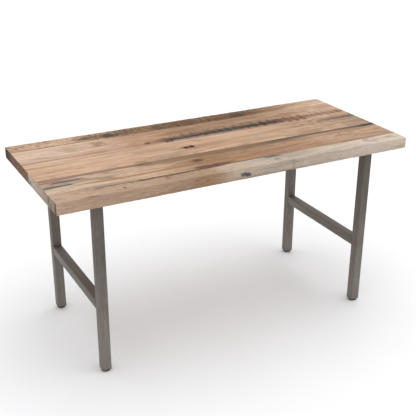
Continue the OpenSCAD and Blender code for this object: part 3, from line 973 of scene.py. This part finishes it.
piece = saw_board("front_board", front_arris=1.0)
FACE = 2 * BACK_EDGE
tools = [cutter("ball", from_corner(0.741, FACE, 0.027), (0.024, 0.0030, 0.018)),
         cutter("ball", from_corner(0.758, FACE, 0.031), (0.020, 0.0032, 0.018)),
         cutter("peg", from_corner(0.266, 0.622), (0.003, 0.003, 0.012)),
         cutter("peg", from_corner(1.402, 0.609), (0.003, 0.003, 0.012))]
carve(piece, tools[:1])
carve(piece, tools[1:])
bore(piece, "front_board")

wood = Board("front_board_wood", seed=51.0)
wood.lay_ground([(0.0, "#c3a891"), (0.10, "#c2a68f"), (0.30, "#bda189"), (0.50, "#af937a"),
                 (0.60, "#b39679"), (0.68, "#c2ad98"), (0.85, "#bcae9f"), (1.05, "#c2b3a3"),
                 (1.30, "#d2c4b6"), (1.52, "#d4c6b6")], shift=0.02)
wood.grain(0.60, 0.14, ring_width=0.005, wander=0.03, streaks=0.25, bands=0.12, blotches=0.12,
           rings=0.15, pores=0.4)
wood.flecks("#5b4333", 0.08, 0.66, 0.5915, 0.004, lump=(0.016, 0.006), share=0.6, strength=0.8,
            soft=0.006, seed=1)
wood.stain("#453429", 0.30, 0.72, 0.586, 0.0022, soft=0.003, strength=0.85, fade=0.06, gaps=0.36,
           seed=21)
wood.flecks("#8a8480", 0.70, 1.03, 0.604, 0.012, lump=(0.045, 0.012), share=0.5, strength=0.7,
            seed=2)
wood.stain("#4d4947", 0.85, 0.96, 0.590, 0.003, soft=0.004, strength=0.8, fade=0.03, gaps=0.35,
           seed=3)
wood.flecks("#a39e97", 1.05, 1.45, 0.606, 0.010, lump=(0.050, 0.010), share=0.4, strength=0.6,
            seed=4)
wood.spot("#9b958e", (1.402, 0.608, 0), (0.030, 0.008, 0.01), ragged=1.2, strength=0.6, seed=3)
wood.spot("#463327", (0.266, 0.622, 0), (0.0040, 0.0070, 0.01), ragged=0.8, strength=0.9, seed=4)
wood.spot("#545b66", (0.741, FACE, 0.026), (0.0145, 0.02, 0.0085), ragged=1.3, soft=0.15,
          strength=0.95, seed=5)
wood.spot("#4b525c", (0.759, FACE, 0.029), (0.0125, 0.02, 0.0085), ragged=1.3, soft=0.15,
          strength=0.95, seed=6)
wood.spot("#8a6b4e", (0.590, FACE, 0.022), (0.075, 0.01, 0.03), ragged=0.8, soft=0.6,
          strength=0.4, seed=7)
wood.spot("#6f5640", (0.540, FACE, 0.014), (0.008, 0.01, 0.005), ragged=1.4, strength=0.5, seed=8)
wood.spot("#6f5640", (0.586, FACE, 0.022), (0.005, 0.01, 0.008), ragged=1.4, strength=0.5, seed=9)
wood.spot("#908a85", (0.965, FACE, 0.023), (0.004, 0.01, 0.028), ragged=0.4, soft=0.6,
          strength=0.6, seed=10)
wood.end_grain(END_TONES)
wood.spot("#54707e", (0.0, 0.590, 0.034), (0.01, 0.0075, 0.0110), ragged=0.9, soft=0.3,
          strength=0.9, seed=11)
finish_board(piece, "front_board", wood.done())


# ---------------------------------------------------------------------------------------------
# Dowels: beech pegs, 10 by 60 mm, glued into both boards of each joint, where they line the
# boards up. They are the CAD's own, and only their wood is made here.

material, tree, shader, place = new_material("beech_wood", roughness=0.7)
dowel_grain = noise(tree, place, stretch=(900, 40, 900), detail=3.0)
dowel_flecks = ease(tree, noise(tree, place, stretch=(1500, 260, 1500)), 0.6, 0.7)
dowel_paint = blend(tree, dowel_grain, colour("#cfae86"), colour("#b88f66"))
feed(tree, shader.inputs["Base Color"], blend(tree, dowel_flecks, dowel_paint, colour("#8e6a48")))
raise_surface(tree, shader, dowel_grain, 0.0002)
dress(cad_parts["alignment_dowels"], material)


# ---------------------------------------------------------------------------------------------
# Frames: 1 1/2 inch square steel tube with 2 mm walls and rounded corners, two legs and one
# crossbar to a side, left as it comes from the mill under a clear satin lacquer.

TUBE_WALL = 0.002
TUBE_CORNER = 0.003


def build_mill_steel_group():
    """Bare steel: draw lines that run along z, cloudy scale, small scratches and dark specks."""
    group, given, result = new_group(
        "mill_steel", [("Vector", "Vector"), ("Dark", "Color"), ("Light", "Color"),
                       ("Seed", "Float")],
        [("Color", "Color"), ("Roughness", "Float"), ("Height", "Float")])
    place = moved(group, given["Vector"], given["Seed"])
    lines = noise(group, place, stretch=(520, 520, 7), detail=3.0, rough=0.65)
    strands = noise(group, place, stretch=(1900, 1900, 22), detail=2.0)
    clouds = noise(group, place, stretch=(70, 70, 34), detail=4.0, rough=0.6)
    drifts = noise(group, place, stretch=(9, 9, 3.5), detail=2.0)
    share = sums(group, "ADD", sums(group, "MULTIPLY", lines, 0.52),
                 sums(group, "ADD", sums(group, "MULTIPLY", strands, 0.30),
                      sums(group, "MULTIPLY", clouds, 0.18)))
    share = sums(group, "MULTIPLY_ADD", sums(group, "SUBTRACT", drifts, 0.5), 0.2, share)
    paint = blend(group, ease(group, share, 0.22, 0.78), given["Dark"], given["Light"])
    specks = ease(group, noise(group, place, stretch=(420, 420, 160), detail=2.0), 0.68, 0.76)
    paint = blend(group, sums(group, "MULTIPLY", specks, 0.5), paint, colour("#3b3531"))
    scratches = ease(group, noise(group, place, stretch=(60, 60, 1300), detail=1.0), 0.70, 0.74)
    paint = blend(group, sums(group, "MULTIPLY", scratches, 0.25), paint, colour("#b5b0a9"))
    feed(group, result.inputs["Color"], paint)
    feed(group, result.inputs["Roughness"], ease(group, clouds, 0.25, 0.75, 0.50, 0.64))
    height = sums(group, "MULTIPLY_ADD", scratches, -0.6,
                  sums(group, "MULTIPLY_ADD", specks, -0.4, lines))
    feed(group, result.inputs["Height"], height)
    return group


MILL_STEEL = build_mill_steel_group()
STEEL_DARK = "#5a534d"
STEEL_LIGHT = "#9c958d"


def steel_material(name, turn=(0, 0, 0), seed=0.0, heat_at=()):
    """Mill steel whose draw lines are turned from z, straw and blue next to the welds, with painted
    shade that darkens it towards the top, under the worktop.
    """
    material, tree, shader, place = new_material(name, metallic=0.30)
    shader.inputs["Specular IOR Level"].default_value = 0.25
    turned = wire(tree, "ShaderNodeMapping", {"Vector": place, "Rotation": turn}).outputs[0]
    steel = use_group(tree, MILL_STEEL, Vector=turned, Dark=colour(STEEL_DARK),
                      Light=colour(STEEL_LIGHT), Seed=seed)
    paint = steel["Color"]
    # Painted shade: the steel's colour darkens with height, standing in for the shade of the worktop's
    # overhang on the tops of the legs.
    low = ease(tree, split(tree, place)[2], 0.05, 0.62, 0.0, 0.55)
    paint = blend(tree, low, paint, multiply(tree, paint, "#a39a92"))
    for axis, middle, reach in heat_at:
        away = sums(tree, "DIVIDE", sums(tree, "ABSOLUTE", sums(
            tree, "SUBTRACT", sums(tree, "ABSOLUTE", split(tree, place)[axis]), middle)), reach)
        ragged = noise(tree, place, stretch=(90, 90, 90), detail=2.0)
        away = sums(tree, "MULTIPLY_ADD", sums(tree, "SUBTRACT", ragged, 0.5), 0.8, away)
        straw = ease(tree, away, 0.7, 1.6, 0.14, 0.0)
        blue = ease(tree, away, 0.2, 0.9, 0.16, 0.0)
        paint = blend(tree, straw, paint, colour("#7d6a52"))
        paint = blend(tree, blue, paint, colour("#4a4b55"))
    feed(tree, shader.inputs["Base Color"], paint)
    feed(tree, shader.inputs["Roughness"], steel["Roughness"])
    raise_surface(tree, shader, steel["Height"], 0.00008, 0.7)
    return material


def delete_ends(piece, axis):
    """Opens a box at its two ends, so that it is a tube."""
    choose(piece)
    bpy.ops.object.mode_set(mode="EDIT")
    bpy.ops.mesh.select_mode(type="FACE")
    bpy.ops.mesh.select_all(action="DESELECT")
    mesh = bmesh.from_edit_mesh(piece.data)
    for face in mesh.faces:
        if abs(face.normal[axis]) > 0.99:
            face.select_set(True)
    bmesh.update_edit_mesh(piece.data)
    bpy.ops.mesh.delete(type="FACE")
    bpy.ops.object.mode_set(mode="OBJECT")


def draw_tube(node, axis):
    """A square tube in the place of a CAD node: rounded corners, open ends, deburred edges."""
    low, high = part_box(node)
    deselect()
    bpy.ops.mesh.primitive_cube_add(size=1, location=(low + high) / 2, scale=high - low)
    piece = bpy.context.object
    piece.name = node + "_tube"
    settle(piece)
    softness = piece.data.attributes.new("bevel_weight_edge", "FLOAT", "EDGE")
    for edge in piece.data.edges:
        way = (piece.data.vertices[edge.vertices[0]].co - piece.data.vertices[edge.vertices[1]].co)
        softness.data[edge.index].value = 1.0 if abs(way[axis]) > 0.999 * way.length else 0.0
    apply_modifier(piece, "BEVEL", width=TUBE_CORNER, segments=6, limit_method="WEIGHT",
                   offset_type="OFFSET")
    delete_ends(piece, axis)
    apply_modifier(piece, "SOLIDIFY", thickness=TUBE_WALL, offset=-1.0, use_even_offset=True)
    apply_modifier(piece, "BEVEL", width=0.0003, segments=2, limit_method="ANGLE",
                   angle_limit=math.radians(60), offset_type="OFFSET")
    choose(piece)
    bpy.ops.object.shade_smooth_by_angle(angle=math.radians(30))
    return piece


crossbar_low, crossbar_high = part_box("crossbar_left")
plate_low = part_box("top_bar_left")[0]
leg_low, leg_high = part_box("leg_front_left")
joint_height = (crossbar_low.z + crossbar_high.z) / 2
half_tube = (leg_high.x - leg_low.x) / 2

for place_name, seed in (("front_left", 1.0), ("back_left", 4.0), ("front_right", 7.0),
                         ("back_right", 12.0)):
    leg = draw_tube("leg_" + place_name, axis=2)
    dress(leg, steel_material("leg_steel_" + place_name, seed=seed,
                              heat_at=[(2, joint_height, half_tube + 0.003),
                                       (2, leg_high.z, 0.005)]))
    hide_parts("leg_" + place_name)
    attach(leg, "desk")

for side, seed in (("left", 20.0), ("right", 26.0)):
    crossbar = draw_tube("crossbar_" + side, axis=1)
    dress(crossbar, steel_material("crossbar_steel_" + side, turn=(math.radians(90), 0, 0),
                                   seed=seed, heat_at=[(1, crossbar_high.y, 0.008)]))
    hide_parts("crossbar_" + side)
    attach(crossbar, "desk")


# ---------------------------------------------------------------------------------------------
# Top bars: 3 by 1/4 inch flat bar, welded across the tops of each pair of legs, with six slots
# across it so that the worktop can swell and shrink over the year.

SLOT_WIDTH = 0.009
SLOT_LENGTH = 0.017
SCREW_ROW = 0.025
SCREW_SPACING = 0.205


def screw_places(side):
    """Where the six screws of a side go, across the bar and along it."""
    low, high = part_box("top_bar_" + side)
    middle = (low.x + high.x) / 2
    return [(middle + row, spot) for row in (-SCREW_ROW, SCREW_ROW)
            for spot in (-SCREW_SPACING, 0.0, SCREW_SPACING)]


for side, seed in (("left", 31.0), ("right", 35.0)):
    low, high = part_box("top_bar_" + side)
    deselect()
    bpy.ops.mesh.primitive_cube_add(size=1, location=(low + high) / 2, scale=high - low)
    bar = bpy.context.object
    bar.name = "top_bar_" + side + "_flat"
    settle(bar)
    tools = []
    for x, y in screw_places(side):
        for end in (-1, 1):
            shift = end * (SLOT_LENGTH - SLOT_WIDTH) / 2
            tools.append(cutter("peg", (x, y + shift, low.z + 0.003),
                                (SLOT_WIDTH, SLOT_WIDTH, 0.02)))
        deselect()
        bpy.ops.mesh.primitive_cube_add(size=1, location=(x, y, low.z + 0.003),
                                        scale=(SLOT_WIDTH, SLOT_LENGTH - SLOT_WIDTH, 0.02))
        settle(bpy.context.object)
        tools.append(bpy.context.object)
    for tool in tools:
        apply_modifier(bar, "BOOLEAN", object=tool, operation="DIFFERENCE", solver="EXACT")
        bpy.data.objects.remove(tool)
    apply_modifier(bar, "BEVEL", width=0.0004, segments=2, limit_method="ANGLE",
                   angle_limit=math.radians(50), offset_type="OFFSET", use_clamp_overlap=True)
    choose(bar)
    bpy.ops.object.shade_smooth_by_angle(angle=math.radians(30))
    dress(bar, steel_material("top_bar_steel_" + side, turn=(math.radians(90), 0, 0), seed=seed))
    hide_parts("top_bar_" + side)
    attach(bar, "desk")


# ---------------------------------------------------------------------------------------------
# Welds: short fillets, laid as overlapping drops, above and below each end of the crossbars and
# round three sides of each leg's top, where it meets the flat bar.

BEAD_RADIUS = 0.0023
BEAD_INSET = 0.0011
DROP_PITCH = 0.0014
WELD_LENGTH = 0.0321


def lay_bead(start, end):
    """One run of weld from start to end: a rod with rounded ends and a drop's ripple."""
    length = (end - start).length
    deselect()
    bpy.ops.mesh.primitive_uv_sphere_add(segments=16, ring_count=12, radius=BEAD_RADIUS,
                                         location=(0, 0, 0))
    bead = bpy.context.object
    bpy.ops.object.mode_set(mode="EDIT")
    bpy.ops.mesh.select_mode(type="VERT")
    bpy.ops.mesh.select_all(action="DESELECT")
    mesh = bmesh.from_edit_mesh(bead.data)
    for vertex in mesh.verts:
        if vertex.co.z > 1e-6:
            vertex.select_set(True)
    mesh.select_flush(True)
    bmesh.update_edit_mesh(bead.data)
    bpy.ops.transform.translate(value=(0, 0, length - 2 * BEAD_RADIUS))
    bpy.ops.object.mode_set(mode="OBJECT")
    slice_bead(bead, round(length / DROP_PITCH * 4))
    bead["texture_origin"] = (0, 0, 0)
    wear(bead, "WOOD", 0.0006, (1.0, 1.0, DROP_PITCH / 0.628), wood_type="BANDNOISE",
         noise_scale=0.3, turbulence=0.6)
    bead.location = start + (end - start).normalized() * BEAD_RADIUS
    bead.rotation_euler = (end - start).to_track_quat("Z", "Y").to_euler()
    settle(bead)
    return bead


def slice_bead(bead, count):
    """Cuts the long straight edges of a bead into short ones."""
    choose(bead)
    bpy.ops.object.mode_set(mode="EDIT")
    bpy.ops.mesh.select_mode(type="EDGE")
    bpy.ops.mesh.select_all(action="DESELECT")
    mesh = bmesh.from_edit_mesh(bead.data)
    for edge in mesh.edges:
        if edge.calc_length() > 3 * BEAD_RADIUS:
            edge.select_set(True)
    bmesh.update_edit_mesh(bead.data)
    bpy.ops.mesh.subdivide(number_cuts=min(count, 100))
    bpy.ops.object.mode_set(mode="OBJECT")


material, tree, shader, place = new_material("weld_metal", metallic=0.8)
heat = noise(tree, place, stretch=(160, 160, 160), detail=3.0)
weld_paint = blend(tree, ease(tree, heat, 0.35, 0.6), colour("#4c4a4e"), colour("#857a6c"))
soot = ease(tree, noise(tree, place, stretch=(420, 420, 420), detail=2.0), 0.58, 0.72)
feed(tree, shader.inputs["Base Color"], blend(tree, soot, weld_paint, colour("#2f2c2b")))
feed(tree, shader.inputs["Roughness"], ease(tree, heat, 0.3, 0.7, 0.34, 0.52))
raise_surface(tree, shader, heat, 0.0002)
weld_metal = material

for side in ("left", "right"):
    low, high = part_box("top_bar_" + side)
    middle = (low.x + high.x) / 2
    runs = []
    for end in (-1, 1):
        corner_y = end * (crossbar_high.y - BEAD_INSET)
        for z in (crossbar_low.z - BEAD_INSET, crossbar_high.z + BEAD_INSET):
            runs.append((Vector((middle - WELD_LENGTH / 2, corner_y, z)),
                         Vector((middle + WELD_LENGTH / 2, corner_y, z))))
        corner_z = plate_low.z - BEAD_INSET
        leg_y = end * -(leg_low.y + half_tube)
        inner = leg_y - end * (half_tube + BEAD_INSET)
        runs.append((Vector((middle - WELD_LENGTH / 2, inner, corner_z)),
                     Vector((middle + WELD_LENGTH / 2, inner, corner_z))))
        for edge in (-1, 1):
            x = middle + edge * (half_tube + BEAD_INSET)
            runs.append((Vector((x, leg_y - WELD_LENGTH / 2, corner_z)),
                         Vector((x, leg_y + WELD_LENGTH / 2, corner_z))))
    beads = [lay_bead(start, end) for start, end in runs]
    welds = join_pieces(beads)
    welds.name = "weld_beads_" + side
    choose(welds)
    bpy.ops.object.shade_smooth()
    dress(welds, weld_metal)
    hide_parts("welds_" + side)
    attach(welds, "desk")


# ---------------------------------------------------------------------------------------------
# Screws: M8 button heads with a 5 mm hexagon socket, zinc plated, with plain washers, driven up
# through the slots into brass inserts in the boards.

THREAD_PITCH = 0.00125
THREAD_DEPTH = 0.0007


def trace_profile(name, points):
    """A line drawn in the xz plane, one point after another, ready to be spun round z."""
    deselect()
    bpy.ops.mesh.primitive_plane_add(size=0.001, location=(0, 0, 0))
    piece = bpy.context.object
    piece.name = name
    bpy.ops.object.mode_set(mode="EDIT")
    bpy.ops.mesh.select_mode(type="VERT")
    bpy.ops.mesh.select_all(action="SELECT")
    bpy.ops.mesh.merge(type="CENTER")
    bpy.ops.transform.translate(value=(points[0][0], 0, points[0][1]))
    for before, after in zip(points, points[1:]):
        step_taken = (after[0] - before[0], 0, after[1] - before[1])
        bpy.ops.mesh.extrude_region_move(TRANSFORM_OT_translate={"value": step_taken})
    bpy.ops.object.mode_set(mode="OBJECT")
    return piece


def spin_profile(name, points, steps=48):
    """A turned piece: its half outline, spun round z and closed."""
    piece = trace_profile(name, points)
    bpy.ops.object.mode_set(mode="EDIT")
    bpy.ops.mesh.select_all(action="SELECT")
    bpy.ops.mesh.spin(steps=steps, angle=math.tau, center=(0, 0, 0), axis=(0, 0, 1))
    bpy.ops.mesh.select_all(action="SELECT")
    bpy.ops.mesh.remove_doubles(threshold=0.00001)
    bpy.ops.mesh.normals_make_consistent(inside=False)
    bpy.ops.object.mode_set(mode="OBJECT")
    choose(piece)
    bpy.ops.object.shade_smooth_by_angle(angle=math.radians(35))
    return piece


def cut_thread(name, radius, low, high, steps=20):
    """A threaded rod from low to high on the z axis, flat at both ends."""
    root = radius - THREAD_DEPTH
    start = low - 1.5 * THREAD_PITCH
    rod = trace_profile(name, [(root, start), (root, start + 0.16 * THREAD_PITCH),
                               (radius, start + 0.50 * THREAD_PITCH),
                               (radius, start + 0.62 * THREAD_PITCH),
                               (root, start + THREAD_PITCH)])
    turns = math.ceil((high - low) / THREAD_PITCH) + 3
    apply_modifier(rod, "SCREW", axis="Z", angle=math.tau, screw_offset=THREAD_PITCH,
                   iterations=turns, steps=steps, render_steps=steps, use_merge_vertices=True,
                   merge_threshold=0.00001)
    choose(rod)
    bpy.ops.object.mode_set(mode="EDIT")
    bpy.ops.mesh.select_all(action="SELECT")
    bpy.ops.mesh.remove_doubles(threshold=0.000005)
    for height, keep_above in ((low, True), (high, False)):
        bpy.ops.mesh.select_all(action="SELECT")
        bpy.ops.mesh.bisect(plane_co=(0, 0, height), plane_no=(0, 0, 1), use_fill=True,
                            clear_inner=keep_above, clear_outer=not keep_above)
    bpy.ops.mesh.select_all(action="SELECT")
    bpy.ops.mesh.normals_make_consistent(inside=False)
    bpy.ops.object.mode_set(mode="OBJECT")
    choose(rod)
    bpy.ops.object.shade_smooth_by_angle(angle=math.radians(30))
    return rod


def fuse(pieces, name):
    """Joins closed solids into one."""
    body = pieces[0]
    for other in pieces[1:]:
        apply_modifier(body, "BOOLEAN", object=other, operation="UNION", solver="EXACT")
        bpy.data.objects.remove(other)
    body.name = name
    return body


def copy_to(master, spot, name):
    """A copy of a piece with a mesh of its own, with its middle line at this place."""
    piece = master.copy()
    piece.data = master.data.copy()
    bpy.context.scene.collection.objects.link(piece)
    piece.name = name
    piece.location = spot
    settle(piece)
    return piece


def metal_material(name, dark, light, metallic, rough_low, rough_high):
    """Plain metal with a cloudy colour, a varied sheen and fine tool marks."""
    material, tree, shader, place = new_material(name, metallic=metallic)
    clouds = noise(tree, place, stretch=(200, 200, 200), detail=4.0, rough=0.6)
    specks = ease(tree, noise(tree, place, stretch=(900, 900, 900), detail=1.0), 0.66, 0.74)
    paint = blend(tree, ease(tree, clouds, 0.3, 0.7), colour(dark), colour(light))
    paint = blend(tree, sums(tree, "MULTIPLY", specks, 0.5), paint,
                  multiply(tree, paint, "#8a8580"))
    feed(tree, shader.inputs["Base Color"], paint)
    feed(tree, shader.inputs["Roughness"], ease(tree, clouds, 0.3, 0.7, rough_low, rough_high))
    raise_surface(tree, shader, clouds, 0.00006)
    return material


zinc = metal_material("zinc_plate", "#8f9297", "#b9bcbf", 0.95, 0.26, 0.42)
screw_low, screw_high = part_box("top_screws_left")
head_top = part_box("top_washers_left")[0].z
head_height = head_top - screw_low.z
head = spin_profile("screw_head", [
    (0.0, 0.0), (0.0036, 0.0), (0.0046, 0.00025), (0.0056, 0.0010), (0.0064, 0.0020),
    (0.0069, 0.0031), (0.0070, 0.0038), (0.0068, head_height), (0.0, head_height)])
shank = cut_thread("screw_thread", 0.004, head_height - 0.0004, screw_high.z - screw_low.z - 0.0008)
master = fuse([head, shank], "screw_master")
deselect()
bpy.ops.mesh.primitive_cylinder_add(vertices=6, radius=0.0025 / math.cos(math.pi / 6),
                                    depth=0.005, location=(0, 0, 0))
socket_tool = bpy.context.object
apply_modifier(master, "BOOLEAN", object=socket_tool, operation="DIFFERENCE", solver="EXACT")
bpy.data.objects.remove(socket_tool)
choose(master)
bpy.ops.object.shade_smooth_by_angle(angle=math.radians(30))
for side in ("left", "right"):
    screws = [copy_to(master, (x, y, screw_low.z), "screw") for x, y in screw_places(side)]
    screws = join_pieces(screws)
    screws.name = "button_screws_" + side
    dress(screws, zinc)
    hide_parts("top_screws_" + side)
    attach(screws, "desk")
    dress(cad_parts["top_washers_" + side], zinc)
bpy.data.objects.remove(master)

brass = metal_material("insert_brass", "#8d7440", "#b99a5b", 1.0, 0.3, 0.5)
for side in ("left", "right"):
    dress(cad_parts["threaded_inserts_" + side], brass)


# ---------------------------------------------------------------------------------------------
# End plugs: square black plastic plugs with a flange, pressed into the bottoms of the legs. The
# boss inside takes the foot's thread.

plug_plastic, tree, shader, place = new_material("plug_plastic", roughness=0.55)
grain_of_mould = noise(tree, place, stretch=(1400, 1400, 1400), detail=2.0)
scuffs = ease(tree, noise(tree, place, stretch=(130, 130, 130), detail=4.0), 0.52, 0.7)
feed(tree, shader.inputs["Base Color"], blend(tree, scuffs, colour("#2b2a2a"), colour("#3f3d3b")))
feed(tree, shader.inputs["Roughness"], ease(tree, scuffs, 0.0, 1.0, 0.5, 0.7))
raise_surface(tree, shader, grain_of_mould, 0.00004)
for place_name in ("front_left", "back_left", "front_right", "back_right"):
    dress(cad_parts["end_plug_" + place_name], plug_plastic)


# ---------------------------------------------------------------------------------------------
# Feet: swivel glides. An M8 stem with a hexagon for a spanner screws into the plug, its round
# head sits in a pressed steel cup, and the cup is crimped over a round nylon sole.

stem_steel = metal_material("stem_steel", "#6f6c69", "#9a9793", 0.9, 0.30, 0.48)
cup_steel = metal_material("cup_steel", "#6d6761", "#8f8982", 0.85, 0.34, 0.5)
sole_nylon, tree, shader, place = new_material("sole_nylon", roughness=0.6)
rub = ease(tree, noise(tree, place, stretch=(220, 220, 60), detail=4.0), 0.45, 0.7)
feed(tree, shader.inputs["Base Color"], blend(tree, rub, colour("#35322f"), colour("#57524d")))
feed(tree, shader.inputs["Roughness"], ease(tree, rub, 0.0, 1.0, 0.5, 0.75))
raise_surface(tree, shader, noise(tree, place, stretch=(1200, 1200, 1200)), 0.00005)

stem_low, stem_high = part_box("foot_stem_front_left")
cup_low, cup_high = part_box("foot_cup_front_left")
sole_low, sole_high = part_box("foot_sole_front_left")
HEX_LOW = 0.0058
HEX_HIGH = 0.0082
HEX_FLATS = 0.013
HEX_CHAMFER = 0.0004
HEAD_HIGH = 0.0037
STEM_RADIUS = 0.004

ball_head = spin_profile("stem_head", [
    (0.0, stem_low.z), (0.0060, stem_low.z), (0.0070, stem_low.z + 0.0004),
    (0.0072, stem_low.z + 0.0009), (0.0070, HEAD_HIGH - 0.0006), (0.0058, HEAD_HIGH),
    (0.0039, HEAD_HIGH + 0.0002), (0.0037, HEAD_HIGH + 0.0005), (0.0037, HEX_LOW + 0.0002),
    (0.0, HEX_LOW + 0.0002)])
deselect()
bpy.ops.mesh.primitive_cylinder_add(vertices=6, radius=HEX_FLATS / 2 / math.cos(math.pi / 6),
                                    depth=HEX_HIGH - HEX_LOW,
                                    location=(0, 0, (HEX_LOW + HEX_HIGH) / 2))
hexagon = bpy.context.object
settle(hexagon)
chamfer = spin_profile("chamfer", [
    (0.0, HEX_LOW), (HEX_FLATS / 2 - 0.0001, HEX_LOW),
    (HEX_FLATS / 2 + 0.0012, HEX_LOW + HEX_CHAMFER * 1.6),
    (HEX_FLATS / 2 + 0.0012, HEX_HIGH - HEX_CHAMFER * 1.6),
    (HEX_FLATS / 2 - 0.0001, HEX_HIGH), (0.0, HEX_HIGH)])
apply_modifier(hexagon, "BOOLEAN", object=chamfer, operation="INTERSECT", solver="EXACT")
bpy.data.objects.remove(chamfer)
thread = cut_thread("stem_thread", STEM_RADIUS, HEX_HIGH - 0.0003, stem_high.z - 0.0002, steps=28)
stem_master = fuse([ball_head, hexagon, thread], "stem_master")
choose(stem_master)
bpy.ops.object.shade_smooth_by_angle(angle=math.radians(30))

cup_radius = (cup_high.x - cup_low.x) / 2
cup_bore = 0.0046
cup_master = spin_profile("cup_master", [
    (cup_bore, cup_low.z), (cup_bore, cup_high.z - 0.0003), (cup_bore + 0.0003, cup_high.z),
    (0.0110, cup_high.z), (0.0121, cup_high.z - 0.00015), (0.0129, cup_high.z - 0.0005),
    (0.0166, cup_low.z + 0.0014), (0.0173, cup_low.z + 0.0010), (cup_radius, cup_low.z + 0.0006),
    (cup_radius, cup_low.z + 0.0002), (cup_radius - 0.0002, cup_low.z), (cup_bore, cup_low.z)],
    steps=72)

sole_radius = (sole_high.x - sole_low.x) / 2
pocket = 0.0076
sole_master = spin_profile("sole_master", [
    (0.0, 0.0012), (pocket - 0.0003, 0.0012), (pocket, 0.0015), (pocket, sole_high.z),
    (sole_radius - 0.0003, sole_high.z), (sole_radius, sole_high.z - 0.0003),
    (sole_radius, 0.0008), (sole_radius - 0.0002, 0.0004), (sole_radius - 0.0008, 0.0),
    (0.0140, 0.0), (0.0138, 0.0004), (0.0132, 0.0004), (0.0130, 0.0),
    (0.0100, 0.0), (0.0098, 0.0004), (0.0092, 0.0004), (0.0090, 0.0),
    (0.0060, 0.0), (0.0058, 0.0004), (0.0052, 0.0004), (0.0050, 0.0), (0.0, 0.0)], steps=72)

for place_name in ("front_left", "back_left", "front_right", "back_right"):
    low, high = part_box("foot_sole_" + place_name)
    spot = ((low.x + high.x) / 2, (low.y + high.y) / 2, 0)
    for master, node, body, finish in (
            (stem_master, "foot_stem_", "stem_", stem_steel),
            (cup_master, "foot_cup_", "foot_", cup_steel),
            (sole_master, "foot_sole_", "foot_", sole_nylon)):
        piece = copy_to(master, spot, node + place_name + "_turned")
        dress(piece, finish)
        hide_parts(node + place_name)
        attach(piece, body + place_name)
for master in (stem_master, cup_master, sole_master):
    bpy.data.objects.remove(master)
